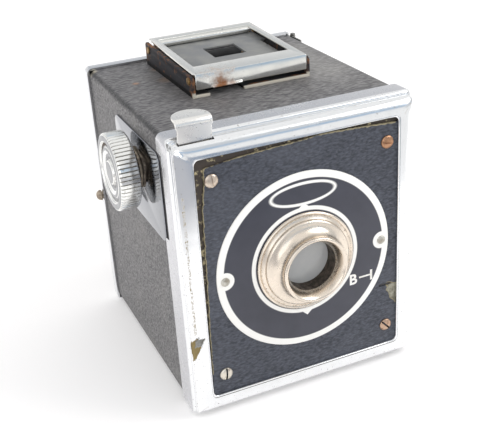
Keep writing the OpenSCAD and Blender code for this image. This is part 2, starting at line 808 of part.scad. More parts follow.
module film_gate() color("#222222") camera_frame() along_y(gate_front, film_y) difference() {
    square([2 * side_in, 2 * gate_half_h], center = true);
    rounded(picture, picture, 1);
}

module roller(z) bar_x(roller_r, -roller_half, roller_half, roller_y, z);

module journals(z) bar_x(journal_r, -side_out - 0.35, side_out + 0.35, roller_y, z);

module upper_roller() color("silver") camera_frame() {
    roller(roller_z);
    journals(roller_z);
}

module lower_roller() color("silver") camera_frame() {
    roller(-roller_z);
    journals(-roller_z);
}

module spool_core() color("#303030") camera_frame() difference() {
    bar_x(spool_core_r, -flange_out, flange_out, winder_depth, winder_up);
    bar_x(core_bore_r, -flange_out - cut, flange_out + cut, winder_depth, winder_up);
    translate([-flange_out - cut, winder_depth - key_slot_t / 2, winder_up - spool_core_r - cut])
        cube([key_depth + 0.3 + cut, key_slot_t, 2 * (spool_core_r + cut)]);
}

module spool_flange(x0) {
    ribs = 3;
    difference() {
        bar_x(spool_flange_r, x0, x0 + spool_flange_t, winder_depth, winder_up);
        bar_x(spool_core_r, x0 - cut, x0 + spool_flange_t + cut, winder_depth, winder_up);
        for (a = [0 : 360 / ribs : 359])
            translate([0, winder_depth, winder_up]) rotate([a, 0, 0])
                bar_x(1.5, x0 - cut, x0 + spool_flange_t + cut, 0, 7.4);
    }
}

module spool_flange_left() color("#303030") camera_frame() spool_flange(-flange_out);

module spool_flange_right() color("#303030") camera_frame() spool_flange(flange_out - spool_flange_t);

module spool_pin(side, z) {
    for (part = [[spool_pin_r, spool_pin_end, side_out], [spool_pin_head_r, side_out, side_out + 0.8]])
        translate([min(side * part[1], side * part[2]), 0, 0])
            bar_x(part[0], 0, part[2] - part[1], winder_depth, z);
}

module spool_pins() color("silver") camera_frame() {
    spool_pin(1, winder_up);
    spool_pin(1, -winder_up);
    spool_pin(-1, -winder_up);
}

module spool_springs() color("silver") camera_frame()
    for (side = [-1, 1])
        along_x(-bow_w / 2, bow_w / 2)
            translate([cone_front + cone_wall + bow_rise - bow_r, side * winder_up]) intersection() {
                difference() {
                    circle(bow_r);
                    circle(bow_r - bow_t);
                }
                translate([bow_r - bow_rise, -bow_half]) square([bow_rise, 2 * bow_half]);
            }

// Winder

// Ribbed outline of the knob, one tooth for each rib
module knob_outline() polygon([for (i = [0 : knob_ribs - 1]) for (step = [0, 0.3, 0.5, 0.8])
    let (a = 360 * (i + step) / knob_ribs, r = step == 0 || step == 0.3 ? knob_r : knob_r - rib_depth)
    [r * cos(a), r * sin(a)]]);

module winding_knob() color("silver") camera_frame() {
    translate([-knob_face + 0.5, winder_depth, winder_up]) rotate([0, 90, 0])
        linear_extrude(knob_l - 1) difference() {
            knob_outline();
            circle(cup_r);
        }
    turned_left() {
        band(cup_r, knob_r - rib_depth, knob_back, knob_back + 0.6);
        band(0, cup_r + 0.4, cup_floor, knob_face - 0.9);
        band(0, knob_boss_r, knob_face - 1, knob_face - 0.1);
        difference() {
            band(cup_r - 0.1, knob_r - rib_depth, knob_face - 0.6, knob_face);
            band(knob_groove[0], knob_groove[1], knob_face - 0.3, knob_face + cut);
        }
    }
}

module winding_shaft() color("silver") camera_frame() {
    turned_left() {
        band(0, shaft_r, flange_out - key_depth, cup_floor);
        band(0, collar_r, bush_inner + 0.4, bush_inner + 0.4 + collar_t);
    }
    translate([-flange_out + 0.3, winder_depth - key_t / 2, winder_up - key_w / 2])
        cube([key_depth - 0.3, key_t, key_w]);
}

module winder_bush() color("gray") camera_frame() turned_left() {
    band(collar_r + running, bush_r, bush_inner, bush_bore_end);
    band(shaft_r + running, bush_r, bush_bore_end, bush_bore_end + bush_cap_t);
    band(bush_r, bush_flange_r, plate_face, plate_face + bush_flange_t);
}

module thrust_washer() color("goldenrod") camera_frame() turned_left()
    band(shaft_r + running, washer_r, cup_floor - 0.1 - washer_t, cup_floor - 0.1);

module knob_plate() color("silver") camera_frame() difference() {
    translate([0, plate_front + knob_plate_l / 2, knob_plate_up])
        along_x(-plate_face, -covering_x) rounded(knob_plate_l, knob_plate_h, plate_corner);
    sleeve_hole(running);
}

// Back

module back_door() color("#333333") camera_frame() difference() {
    union() {
        along_y(door_front, door_back) difference() {
            square([bezel_w, bezel_h - 2 * trim_t], center = true);
            for (side = [-1, 1])
                translate([side * bezel_w, 0]) square([bezel_w + 2 * (side > 0
                    ? bezel_w / 2 - trim_right + trim_t : trim_t), bezel_h], center = true);
        }
        along_y(rim_front, door_front) difference() {
            rounded(rim_out_w, rim_out_h, 1);
            rounded(rim_out_w - 2 * rim_t, rim_out_h - 2 * rim_t, 0.4);
        }
    }
    bar_y(window_r, 0, 2 * case_l, 0, 0);
    translate([-inner_w / 2 - cut, 0, -catch_half - 1])
        cube([cut + loose + rim_t + 0.2, door_front, 2 * (catch_half + 1)]);
}

module trim_outline() intersection() {
    rounded(bezel_w, bezel_h, bezel_corner);
    translate([-bezel_w, -bezel_h]) square([bezel_w + trim_right, 2 * bezel_h]);
}

module back_trim() color("silver") camera_frame() difference() {
    along_y(trim_front, trim_back) trim_outline();
    along_y(trim_front - cut, door_back + cover_t)
        translate([(trim_right - bezel_w / 2) / 2, 0])
            square([bezel_w / 2 + trim_right - 2 * trim_t, bezel_h - 2 * trim_t], center = true);
    along_y(0, 2 * case_l) translate([(trim_right - bezel_w / 2) / 2, 0])
        rounded(bezel_w / 2 + trim_right - 2 * trim_lip, bezel_h - 2 * trim_lip, 1);
    translate([trim_right - trim_t - cut, 0, -bezel_h])
        cube([trim_t + 2 * cut, door_front, 2 * bezel_h]);
}

module back_covering() color("#2b2b2d") camera_frame() along_y(door_back, door_back + cover_t)
    difference() {
        translate([(trim_right - bezel_w / 2) / 2, 0])
            square([bezel_w / 2 + trim_right - 2 * trim_t - 0.2, bezel_h - 2 * trim_t - 0.2],
                center = true);
        circle(window_r);
    }

module red_window() color([0.7, 0.05, 0.05, 0.6]) camera_frame()
    bar_y(window_r + window_lap, door_front - 0.4, door_front, 0, 0);

module window_ring() color("silver") camera_frame() turned_forward() {
    band(window_r - ring_t, window_r, -door_back - cover_t - ring_t, -door_front);
    band(window_r, window_r + ring_lip, -door_back - cover_t - ring_t, -door_back - cover_t);
}

module pressure_plate() color("#222222") camera_frame()
    along_y(pressure_front, pressure_front + pressure_t) difference() {
        rounded(2 * pressure_half, 2 * pressure_half, plate_corner_r);
        circle(window_r + window_lap + 0.5);
    }

module pressure_springs() color("silver") camera_frame()
    for (x = [-press_bow_x, press_bow_x])
        along_x(x - press_bow_w / 2, x + press_bow_w / 2)
            translate([door_front - press_bow_rise + press_bow_r, 0]) intersection() {
                difference() {
                    circle(press_bow_r);
                    circle(press_bow_r - bow_t);
                }
                translate([-press_bow_r, -press_bow_half]) square([press_bow_rise, 2 * press_bow_half]);
            }

// One hinge knuckle; place is counted up from the bottom, and the child is its arm
module knuckle(place) {
    low = place * hinge_part_h - hinge_half_h;
    along_z(low + slide_gap / 2, low + hinge_part_h - slide_gap / 2) difference() {
        union() {
            translate([hinge_x, hinge_y]) circle(knuckle_r);
            children();
        }
        translate([hinge_x, hinge_y]) circle(hinge_pin_r + running);
    }
}

module hinge_leaf_case() color("gray") camera_frame() {
    along_z(-hinge_half_h, hinge_half_h) translate([steel_w / 2, case_l - hinge_leaf_l])
        square([hinge_leaf_t, hinge_leaf_l - slide_gap]);
    for (place = [0 : 2 : hinge_parts - 1])
        knuckle(place) translate([steel_w / 2, case_l - 1])
            square([hinge_leaf_t, hinge_y - case_l + 1]);
}

module hinge_leaf_door() color("gray") camera_frame() {
    left = rim_out_w / 2 + running;
    along_z(-hinge_half_h, hinge_half_h) translate([left, door_front - hinge_leaf_t])
        square([trim_right - left, hinge_leaf_t]);
    for (place = [1 : 2 : hinge_parts - 1])
        knuckle(place) translate([left, door_front - hinge_leaf_t])
            square([hinge_x - 0.8 * knuckle_r - left, hinge_leaf_t]);
}

module hinge_pin() color("silver") camera_frame() translate([hinge_x, hinge_y, 0]) {
    translate([0, 0, -hinge_half_h]) cylinder(r = hinge_pin_r, h = 2 * hinge_half_h);
    for (end = [-1, 1])
        translate([0, 0, end * (hinge_half_h + 0.25)])
            cylinder(r = knuckle_r * 0.85, h = 0.5, center = true);
}

module door_pull() color("silver") camera_frame()
    translate([0, (trim_front + trim_back) / 2, -pull_down]) rotate([0, -90, 0]) rotate_extrude() {
        band(0, pull_r * 0.65, bezel_w / 2, bezel_w / 2 + 0.5);
        intersection() {
            translate([0, bezel_w / 2 + 0.35]) circle(pull_r);
            band(0, pull_r, bezel_w / 2 + 0.35, bezel_w / 2 + 0.35 + 2 * pull_r);
        }
    }

module door_catch() color("silver") camera_frame() difference() {
    translate([-inner_w / 2, case_l - 0.4 - catch_l, -catch_half])
        cube([catch_t, catch_l, 2 * catch_half]);
    for (side = [-1, 1])
        bar_x(0.8, -case_w, 0, case_l - 0.8 * catch_l, side * catch_half / 2);
}

// Finder, drawn as u along its length and h up, both from its front lower edge

module finder_frame_at(turn) camera_frame() translate([finder_x, finder_front, case_h / 2])
    rotate([turn, 0, 0]) children();

// A (u, h) shape run from x0 to x1, on the slope of the folded leaves
module leaf_run(x0, x1) finder_frame_at(finder_tilt) along_x(x0, x1) children();

module leaf_pin_hole(u, h, r)
    finder_frame_at(finder_tilt) bar_x(r, -finder_w, finder_w, u, h);

module finder_base() color("#5a3a2a") {
    wall_rear = finder_wall_h + finder_l * tan(finder_tilt);
    difference() {
        finder_frame_at(0) {
            translate([-finder_w / 2, 0, 0]) cube([finder_w, finder_l, finder_base_t]);
            for (x0 = [-finder_w / 2, channel])
                along_x(x0, x0 + wall_t)
                    polygon([[0, 0], [finder_l, 0], [finder_l, wall_rear - 0.8],
                        [finder_l - 0.8, wall_rear], [0.8, finder_wall_h], [0, finder_wall_h - 0.8]]);
        }
        finder_frame_at(0)
            translate([thumb_lip_x - thumb_lip_w / 2 - 0.7, -cut, -cut])
                cube([thumb_lip_w + 1.4, 5.6 + cut, finder_base_t + 2 * cut]);
        leaf_pin_hole(front_pin_u, front_pin_h, leaf_pin_r + running);
        leaf_pin_hole(rear_pin_u, rear_pin_h, leaf_pin_r + running);
        camera_frame()
            for (p = rivets)
                translate([p[0], p[1], case_h / 2 - cut]) cylinder(r = rivet_r + running, h = 3);
    }
}

module finder_frame() color("silver") difference() {
    union() {
        finder_frame_at(finder_tilt) along_z(leaf_under, leaf_top) difference() {
            translate([-leaf_half, 0]) square([2 * leaf_half, finder_l]);
            translate([-window_half, front_bar]) square([2 * window_half, window_end - front_bar]);
        }
        for (x0 = [-leaf_half, leaf_half - ear_t_leaf])
            leaf_run(x0, x0 + ear_t_leaf) {
                translate([front_pin_u, front_pin_h]) circle(ear_r);
                translate([front_pin_u - ear_r, front_pin_h])
                    square([2 * ear_r, leaf_under - front_pin_h]);
                translate([front_pin_u - ear_r, leaf_under - 0.9])
                    square([window_end - front_pin_u, 0.9]);
            }
        leaf_run(-leaf_half, leaf_half)
            translate([0, flange_low]) square([0.6, leaf_under - flange_low]);
        leaf_run(thumb_lip_x - thumb_lip_w / 2, thumb_lip_x + thumb_lip_w / 2)
            translate([-thumb_lip_l, flange_low]) square([thumb_lip_l + 0.6, 0.6]);
        leaf_run(-window_half, window_half)
            translate([window_end, rear_lip_low]) square([0.6, leaf_under - rear_lip_low]);
    }
    leaf_pin_hole(front_pin_u, front_pin_h, leaf_pin_r + running);
}

module finder_sight() color("#333338") difference() {
    union() {
        finder_frame_at(finder_tilt) along_z(sight_under, sight_top) difference() {
            union() {
                translate([-sight_half, sight_tip]) square([2 * sight_half, sight_end - sight_tip]);
                translate([-sight_wide_half, sight_end - sight_wide_l])
                    square([2 * sight_wide_half, sight_wide_l]);
            }
            translate([sight_hole_x, sight_hole_u]) square(sight_hole, center = true);
        }
        for (x0 = [-sight_wide_half, sight_wide_half - ear_t_leaf])
            leaf_run(x0, x0 + ear_t_leaf) {
                translate([rear_pin_u, rear_pin_h]) circle(sight_ear_r);
                translate([sight_end - 3, rear_pin_h - 0.6]) square([rear_pin_u - sight_end + 3, 1.2]);
            }
    }
    leaf_pin_hole(rear_pin_u, rear_pin_h, leaf_pin_r + running);
}

module leaf_pin(u, h) {
    finder_frame_at(finder_tilt) {
        bar_x(leaf_pin_r, -finder_w / 2, finder_w / 2, u, h);
        for (x0 = [-finder_w / 2 - 0.4, finder_w / 2])
            bar_x(leaf_pin_r + 0.35, x0, x0 + 0.4, u, h);
    }
}

module finder_front_pin() color("#6a5040") leaf_pin(front_pin_u, front_pin_h);

module finder_rear_pin() color("#6a5040") leaf_pin(rear_pin_u, rear_pin_h);

module finder_spring() color("silver") finder_frame_at(finder_tilt) difference() {
    bar_x(leaf_pin_r + 0.65, -coil_left, coil_l - coil_left, front_pin_u, front_pin_h);
    bar_x(leaf_pin_r + running, -coil_left - cut, coil_l + cut - coil_left, front_pin_u, front_pin_h);
}

module finder_rivets() color("#6a5040") camera_frame()
    for (p = rivets)
        translate([p[0], p[1], 0]) {
            translate([0, 0, inner_h / 2]) cylinder(r = rivet_r,
                h = case_h / 2 - inner_h / 2 + finder_base_t);
            translate([0, 0, case_h / 2 + finder_base_t]) cylinder(r = rivet_head_r, h = 0.6);
            translate([0, 0, inner_h / 2 - 0.5]) cylinder(r = rivet_head_r, h = 0.5);
        }

body_shell();
body_covering();
front_bezel();
front_panel();
front_covering();
name_plate();
name_plate_pins();
panel_screws();
panel_posts();
lens_hood();
lens();
lens_ring();
aperture_plate();
shutter_plate();
shutter_disc();
shutter_pivot();
shutter_spring();
release_lever();
release_spring();
time_selector();
carrier_left_plate();
carrier_right_plate();
light_cone();
film_gate();
upper_roller();
lower_roller();
spool_core();
spool_flange_left();
spool_flange_right();
spool_pins();
spool_springs();
winding_knob();
winding_shaft();
winder_bush();
thrust_washer();
knob_plate();
back_door();
back_trim();
back_covering();
red_window();
window_ring();
pressure_plate();
pressure_springs();
hinge_leaf_case();
hinge_leaf_door();
hinge_pin();
door_pull();
door_catch();
finder_base();
finder_frame();
finder_sight();
finder_front_pin();
finder_rear_pin();
finder_spring();
finder_rivets();
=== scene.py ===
# %% [markdown]
# # An old metal box camera
# The camera is a pressed steel box covered with black leathercloth. A plated bezel goes
# round its front, a spun hood surrounds the lens, and a finder made of two folding leaves
# lies on the roof. The solids come packed from CAD. This notebook loads them, models the
# visible pieces again with the wear and the small roundings of the real ones, and gives
# every piece a finish. Lengths here are in millimetres until at() turns them to metres.

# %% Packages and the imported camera
import math

import bpy
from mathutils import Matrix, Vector, noise


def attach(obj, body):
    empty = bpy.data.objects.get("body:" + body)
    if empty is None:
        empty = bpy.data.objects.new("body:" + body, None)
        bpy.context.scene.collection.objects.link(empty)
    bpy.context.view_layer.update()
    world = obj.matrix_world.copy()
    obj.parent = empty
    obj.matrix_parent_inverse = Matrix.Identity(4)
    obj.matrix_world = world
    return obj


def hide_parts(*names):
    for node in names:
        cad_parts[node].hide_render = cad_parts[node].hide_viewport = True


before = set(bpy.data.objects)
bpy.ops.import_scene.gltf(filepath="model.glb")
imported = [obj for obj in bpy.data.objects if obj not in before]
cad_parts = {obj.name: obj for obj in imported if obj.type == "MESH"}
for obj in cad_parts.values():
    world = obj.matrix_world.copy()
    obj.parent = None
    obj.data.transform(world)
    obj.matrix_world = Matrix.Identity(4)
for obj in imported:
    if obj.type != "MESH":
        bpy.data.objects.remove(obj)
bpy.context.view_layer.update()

# %% [markdown]
# ## Where things are
# Most sizes were measured from the lens axis and from the face of the front panel, so
# the pieces are placed in those terms: x to the right, y the depth behind the panel's
# face, z up from the lens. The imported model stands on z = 0 with its origin under the
# lens, so one function moves a point from the first frame to the second.

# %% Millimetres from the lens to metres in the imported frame
MM = 0.001
LENS_HEIGHT = 44.0
PANEL_DEPTH = 9.2


def at(x, y, z):
    """A point in lens millimetres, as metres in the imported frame."""
    return Vector((x, y - PANEL_DEPTH, z + LENS_HEIGHT)) * MM


print("lens axis meets the panel at", [round(value, 4) for value in at(0, 0, 0)], "metres")

# %% [markdown]
# ## The photographer's place
# The picture is taken from above and to the left of the lens, from about 27 cm, through
# an angle of about 30 degrees. The camera's place and turn come from fitting the corners
# of the case to the picture, and so do the focal length and the small shift.

# %% Camera
bpy.ops.object.select_all(action="DESELECT")
bpy.ops.object.camera_add(
    location=(-0.104576, -0.219984, 0.173735),
    rotation=(1.120193, 0.057571, -0.422324),
)
camera = bpy.context.object
camera.data.sensor_width = 36.0
camera.data.lens = 66.2
camera.data.clip_start = 0.01
camera.data.shift_x = 0.0026
camera.data.shift_y = -0.0028
bpy.context.scene.camera = camera
bpy.context.scene.view_settings.view_transform = "Standard"
print("camera:", round((camera.location - at(0, 0, 0)).length, 3), "m from the lens")

# %% [markdown]
# ## Colours and nodes
# Colours are written as the hex values seen on a screen. Shaders need linear light, so
# one function turns them. A second small function adds a node, sets its values and
# makes its links, which keeps each finish readable as a list of steps. Patterns are sized
# by the width of what they draw, and a third function turns that to a texture's scale.


# %% Colour and node helpers
def linear(code):
    """A hex colour as linear red, green, blue and alpha."""
    channels = [int(code[i : i + 2], 16) / 255 for i in (1, 3, 5)]
    return [c / 12.92 if c <= 0.04045 else ((c + 0.055) / 1.055) ** 2.4 for c in channels] + [1.0]


def node(tree, kind, inputs=None, **settings):
    """A node with its settings, and its inputs set to values or linked to sockets."""
    made = tree.nodes.new("ShaderNode" + kind)
    for name, value in settings.items():
        setattr(made, name, value)
    for name, value in (inputs or {}).items():
        if isinstance(value, bpy.types.NodeSocket):
            tree.links.new(value, made.inputs[name])
        else:
            made.inputs[name].default_value = value
    return made


def cells(width):
    """The scale at which one cell of a pattern is this many millimetres wide."""
    return 1.0 / (width * MM)


def new_finish(name):
    """A new material, its tree, its shader and the Object coordinates that patterns read."""
    finish = bpy.data.materials.new(name)
    finish.use_nodes = True
    tree = finish.node_tree
    shader = tree.nodes["Principled BSDF"]
    place = node(tree, "TexCoord").outputs["Object"]
    return finish, tree, shader, place


print("screen grey #808080 is", round(linear("#808080")[0], 3), "of white in linear light")

# %% [markdown]
# ## Room
# The object stands in a white room. Bright metal needs something to mirror, so the room
# has faint grey patches and a pale blue streak low down behind the photographer. Rays
# that go straight to the lens see plain white, and at a strength of 1 it is white in the
# picture without adding light to the object.

# %% Room
ROOM_LIGHT = 1.1
room = bpy.data.worlds.new("studio_room")
bpy.context.scene.world = room
room.use_nodes = True
tree = room.node_tree
# Parts of a direction run from -1 to 1: Y is negative behind the photographer, Z is up.
direction = node(tree, "TexCoord").outputs["Generated"]
parts = node(tree, "SeparateXYZ", {"Vector": direction}).outputs
behind = node(tree, "MapRange", {"Value": parts["Y"], "From Min": -0.5, "From Max": -0.7})
lower = node(tree, "MapRange", {"Value": parts["Z"], "From Min": 0.24, "From Max": 0.30})
upper = node(tree, "MapRange", {"Value": parts["Z"], "From Min": 0.48, "From Max": 0.38})
band = node(
    tree,
    "Math",
    {0: lower.outputs["Result"], 1: upper.outputs["Result"]},
    operation="MULTIPLY",
).outputs[0]
streak = node(
    tree, "Math", {0: band, 1: behind.outputs["Result"]}, operation="MULTIPLY"
).outputs[0]
patches = node(tree, "TexNoise", {"Vector": direction, "Scale": 1.6, "Detail": 1.0})
patch_mask = node(
    tree, "MapRange", {"Value": patches.outputs["Fac"], "From Min": 0.5, "From Max": 0.66}
)
patched = node(
    tree,
    "Mix",
    {"Factor": patch_mask.outputs["Result"], "A": linear("#FFFFFF"), "B": linear("#D3D7DC")},
    data_type="RGBA",
)
streaked = node(
    tree,
    "Mix",
    {"Factor": streak, "A": patched.outputs["Result"], "B": linear("#A9C2DC")},
    data_type="RGBA",
)
rays = node(tree, "LightPath").outputs
through = node(
    tree,
    "Math",
    {0: rays["Is Camera Ray"], 1: rays["Is Transmission Ray"]},
    operation="MAXIMUM",
).outputs[0]
shown = node(
    tree,
    "Mix",
    {"Factor": through, "A": streaked.outputs["Result"], "B": linear("#FFFFFF")},
    data_type="RGBA",
)
seen = node(
    tree, "Math", {0: through, 1: rays["Is Glossy Ray"]}, operation="MAXIMUM"
).outputs[0]
level = node(tree, "MapRange", {"Value": seen, "To Min": ROOM_LIGHT, "To Max": 1.0})
tree.links.new(shown.outputs["Result"], tree.nodes["Background"].inputs["Color"])
tree.links.new(level.outputs["Result"], tree.nodes["Background"].inputs["Strength"])
print("room:", len(tree.nodes), "nodes")

# %% [markdown]
# ## Lamps
# Two broad square lamps stand for a window and the wall opposite it. The window is on the
# right, so the soft shadow falls to the left of the case, as in the picture. Large lamps
# close to a small object give edges of shadow that fade out slowly.


# %% Lamps
def lamp(name, place, size, power):
    """A square lamp, its side in metres and its power in watts, aimed at the case."""
    bpy.ops.object.select_all(action="DESELECT")
    bpy.ops.object.light_add(type="AREA", location=place)
    light = bpy.context.object
    light.name = name
    light.data.size = size
    light.data.energy = power
    middle_of_case = Vector((0, 0, 0.04))
    light.rotation_euler = (middle_of_case - Vector(place)).to_track_quat("-Z", "Y").to_euler()
    print("lamp:", name, size, "m,", power, "W")


lamp("window_light", (0.75, -0.40, 0.70), 0.6, 4.0)
lamp("fill_light", (-0.7, -0.9, 0.5), 0.8, 1.6)

# %% [markdown]
# ## Floor
# The floor is a sheet of matt white paper. White paper under this light is a little below
# white in the picture, so the rays of the picture see it with a small glow added, and so
# do mirrors. The glow adds nothing to the light on the object, and the shadow stays.

# %% Floor
FLOOR_GAP = 0.2
PICTURE_GLOW = 0.19
MIRROR_GLOW = 0.3
bpy.ops.object.select_all(action="DESELECT")
bpy.ops.mesh.primitive_plane_add(size=6.0, location=(0, 0, -FLOOR_GAP * MM))
floor = bpy.context.object
floor.name = "white_floor"
finish, tree, shader, place = new_finish("matt_white_paper")
output = tree.nodes["Material Output"]
tree.nodes.remove(shader)
rays = node(tree, "LightPath").outputs
through = node(
    tree,
    "Math",
    {0: rays["Is Camera Ray"], 1: rays["Is Transmission Ray"]},
    operation="MAXIMUM",
).outputs[0]
mirrored = node(
    tree, "Math", {0: rays["Is Glossy Ray"], 1: MIRROR_GLOW}, operation="MULTIPLY"
).outputs[0]
lift = node(
    tree, "Math", {0: through, 1: PICTURE_GLOW, 2: mirrored}, operation="MULTIPLY_ADD"
).outputs[0]
matt = node(tree, "BsdfDiffuse", {"Color": linear("#EFEDEC")})
glow = node(tree, "Emission", {"Color": linear("#FFFFFF"), "Strength": lift})
paper = node(tree, "AddShader", {0: matt.outputs["BSDF"], 1: glow.outputs["Emission"]})
tree.links.new(paper.outputs["Shader"], output.inputs["Surface"])
floor.data.materials.append(finish)
print("floor:", FLOOR_GAP, "mm under the case")

# %% [markdown]
# ## Card
# Chrome in an all-white room looks like white plastic. A studio puts a card where only
# the metal sees it, and a blue-grey one lies on the floor in front here. It fades to pale
# grey towards the knob and to white at the right, and it is hidden from the picture, from
# matt surfaces and from the shadow.

# %% The card that the mirrors see
CARD_SIZE = 2.8
COLOUR_STARTS, COLOUR_FULL = -0.128, -0.150
GREY_STARTS, GREY_FULL = 0.045, 0.025
WHITE_STARTS, WHITE_FULL = 0.096, 0.116
bpy.ops.object.select_all(action="DESELECT")
bpy.ops.mesh.primitive_plane_add(size=CARD_SIZE, location=(0.4, -1.525, 0.3 * MM))
card = bpy.context.object
card.name = "blue_grey_card"
bpy.ops.object.transform_apply(location=True, rotation=True, scale=True)
finish, tree, shader, place = new_finish("blue_grey_card_stock")
output = tree.nodes["Material Output"]
tree.nodes.remove(shader)
parts = node(tree, "SeparateXYZ", {"Vector": place}).outputs
shade = node(
    tree, "MapRange", {"Value": parts["Y"], "From Min": COLOUR_STARTS, "From Max": COLOUR_FULL}
)
left = node(
    tree, "MapRange", {"Value": parts["X"], "From Min": GREY_STARTS, "From Max": GREY_FULL}
)
right = node(
    tree, "MapRange", {"Value": parts["X"], "From Min": WHITE_STARTS, "From Max": WHITE_FULL}
)
greyed = node(
    tree,
    "Mix",
    {"Factor": left.outputs["Result"], "A": linear("#8C9CB2"), "B": linear("#C3C4CA")},
    data_type="RGBA",
)
faded = node(
    tree,
    "Mix",
    {"Factor": right.outputs["Result"], "A": greyed.outputs["Result"], "B": linear("#FFFFFF")},
    data_type="RGBA",
)
tone = node(
    tree,
    "Mix",
    {"Factor": shade.outputs["Result"], "A": linear("#FFFFFF"), "B": faded.outputs["Result"]},
    data_type="RGBA",
)
glow = node(tree, "Emission", {"Color": tone.outputs["Result"]})
tree.links.new(glow.outputs["Emission"], output.inputs["Surface"])
card.data.materials.append(finish)
card.visible_camera = False
card.visible_diffuse = False
card.visible_shadow = False
card.visible_transmission = False
print("card:", CARD_SIZE, "m square, its colour starts", -COLOUR_STARTS, "m before the origin")

# %% [markdown]
# ## Bright plating
# The bezel, the trim, the knob and the finder's frame are steel with a bright nickel or
# chrome plating. Old plating is a good mirror with a faint haze, so reflections stay
# clear but a little milky. It could be one smooth metal, but then it would look new.
# Here clouds of haze are about 4 mm wide and dents so shallow that only a reflection
# shows them are 11 mm. Real pinholes are 0.1 to 0.3 mm wide. A pixel of the picture
# covers about 0.3 mm, so they come from a noise of 0.53 mm, coarse enough to show.
# Rust creeps out as brown blooms from a noise of 6 mm.

# %% Rust and dirt on plating
HAZE_CLOUD = 3.846
PINHOLE = 0.5263
RUST_BLOOM = 5.882
SHALLOW_DENT = 11.11


def rust_on_plating(tree, place, rust, rust_place):
    """Where rust shows through. With a place given, as (middle, reach), it gathers there."""
    level = node(
        tree,
        "TexNoise",
        {"Vector": place, "Scale": cells(RUST_BLOOM), "Detail": 6.0, "Roughness": 0.7},
    ).outputs["Fac"]
    spread = 0.0
    if rust_place:
        middle, reach = rust_place
        spread = 0.08
        away = node(tree, "VectorMath", {0: place, 1: middle}, operation="DISTANCE")
        near = node(
            tree,
            "MapRange",
            {"Value": away.outputs["Value"], "From Min": reach, "From Max": 0.0, "To Max": 0.42},
        )
        level = node(
            tree, "Math", {0: level, 1: near.outputs["Result"]}, operation="ADD"
        ).outputs[0]
    return node(
        tree,
        "MapRange",
        {"Value": level, "From Min": 0.70 - rust - spread, "From Max": 0.86 - rust + spread},
        interpolation_type="SMOOTHSTEP",
    ).outputs["Result"]


def dirt_and_shade_on_plating(tree, colour, worn, speck, attribute, dirt_and_shade_colour):
    """The colour and the wear again, with dirt and painted shade where the mesh's attribute holds
    them.
    """
    held = node(tree, "Attribute", attribute_name=attribute).outputs["Fac"]
    uneven = node(
        tree, "Math", {0: speck, 1: 0.8, 2: -0.4}, operation="MULTIPLY_ADD"
    ).outputs[0]
    level = node(tree, "Math", {0: held, 1: uneven}, operation="ADD").outputs[0]
    dirt_and_shade = node(
        tree,
        "MapRange",
        {"Value": level, "From Min": 0.25, "From Max": 0.6},
        interpolation_type="SMOOTHSTEP",
    ).outputs["Result"]
    colour = node(
        tree, "Mix", {"Factor": dirt_and_shade, "A": colour, "B": linear(dirt_and_shade_colour)}, data_type="RGBA"
    ).outputs["Result"]
    worn = node(tree, "Math", {0: worn, 1: dirt_and_shade}, operation="MAXIMUM").outputs[0]
    return colour, worn


print("pinholes come from cells of", PINHOLE, "mm")

# %% [markdown]
# The plating itself mixes the clean metal with a film of haze, then pinholes, then rust.
# Where it is worn it is no longer a metal and no longer smooth, so the wear also drives
# Metallic and Roughness. Each piece gets its own tint, haze, pinholes and rust.


# %% Plating
def plating(name, tint, haze, pits, rust, ripple=0.05, rust_place=None, grime_and_shade=None):
    """Bright plated metal. More pits or rust lowers the limit at which they show."""
    finish, tree, shader, place = new_finish(name)
    film = [0.9 * value for value in linear(tint)[:3]] + [1.0]
    cloud = node(
        tree, "TexNoise", {"Vector": place, "Scale": cells(HAZE_CLOUD), "Detail": 4.0}
    ).outputs["Fac"]
    speck = node(
        tree, "TexNoise", {"Vector": place, "Scale": cells(PINHOLE), "Detail": 3.0}
    ).outputs["Fac"]
    pit_mask = node(
        tree,
        "MapRange",
        {"Value": speck, "From Min": 0.70 - pits, "From Max": 0.76 - pits},
        interpolation_type="SMOOTHSTEP",
    ).outputs["Result"]
    rust_mask = rust_on_plating(tree, place, rust, rust_place)
    hazed = node(
        tree, "Mix", {"Factor": cloud, "A": linear(tint), "B": film}, data_type="RGBA"
    )
    pitted = node(
        tree,
        "Mix",
        {"Factor": pit_mask, "A": hazed.outputs["Result"], "B": linear("#4A423A")},
        data_type="RGBA",
    )
    rusted = node(
        tree,
        "Mix",
        {"Factor": rust_mask, "A": pitted.outputs["Result"], "B": linear("#8A5A34")},
        data_type="RGBA",
    )
    colour = rusted.outputs["Result"]
    worn = node(tree, "Math", {0: pit_mask, 1: rust_mask}, operation="MAXIMUM").outputs[0]
    if grime_and_shade:
        colour, worn = dirt_and_shade_on_plating(tree, colour, worn, speck, *grime_and_shade)
    tree.links.new(colour, shader.inputs["Base Color"])
    metal = node(tree, "MapRange", {"Value": worn, "To Min": 1.0, "To Max": 0.15})
    tree.links.new(metal.outputs["Result"], shader.inputs["Metallic"])
    polish = node(
        tree,
        "MapRange",
        {"Value": cloud, "From Min": 0.3, "From Max": 0.7, "To Min": haze, "To Max": haze + 0.10},
    )
    dulled = node(
        tree, "Math", {0: worn, 1: 0.5, 2: polish.outputs["Result"]}, operation="MULTIPLY_ADD"
    )
    tree.links.new(dulled.outputs[0], shader.inputs["Roughness"])
    dents = node(
        tree, "TexNoise", {"Vector": place, "Scale": cells(SHALLOW_DENT), "Detail": 2.0}
    )
    relief = node(
        tree, "Math", {0: worn, 1: -0.05, 2: dents.outputs["Fac"]}, operation="MULTIPLY_ADD"
    )
    bump = node(tree, "Bump", {"Height": relief.outputs[0], "Distance": ripple * MM})
    tree.links.new(bump.outputs["Normal"], shader.inputs["Normal"])
    return finish
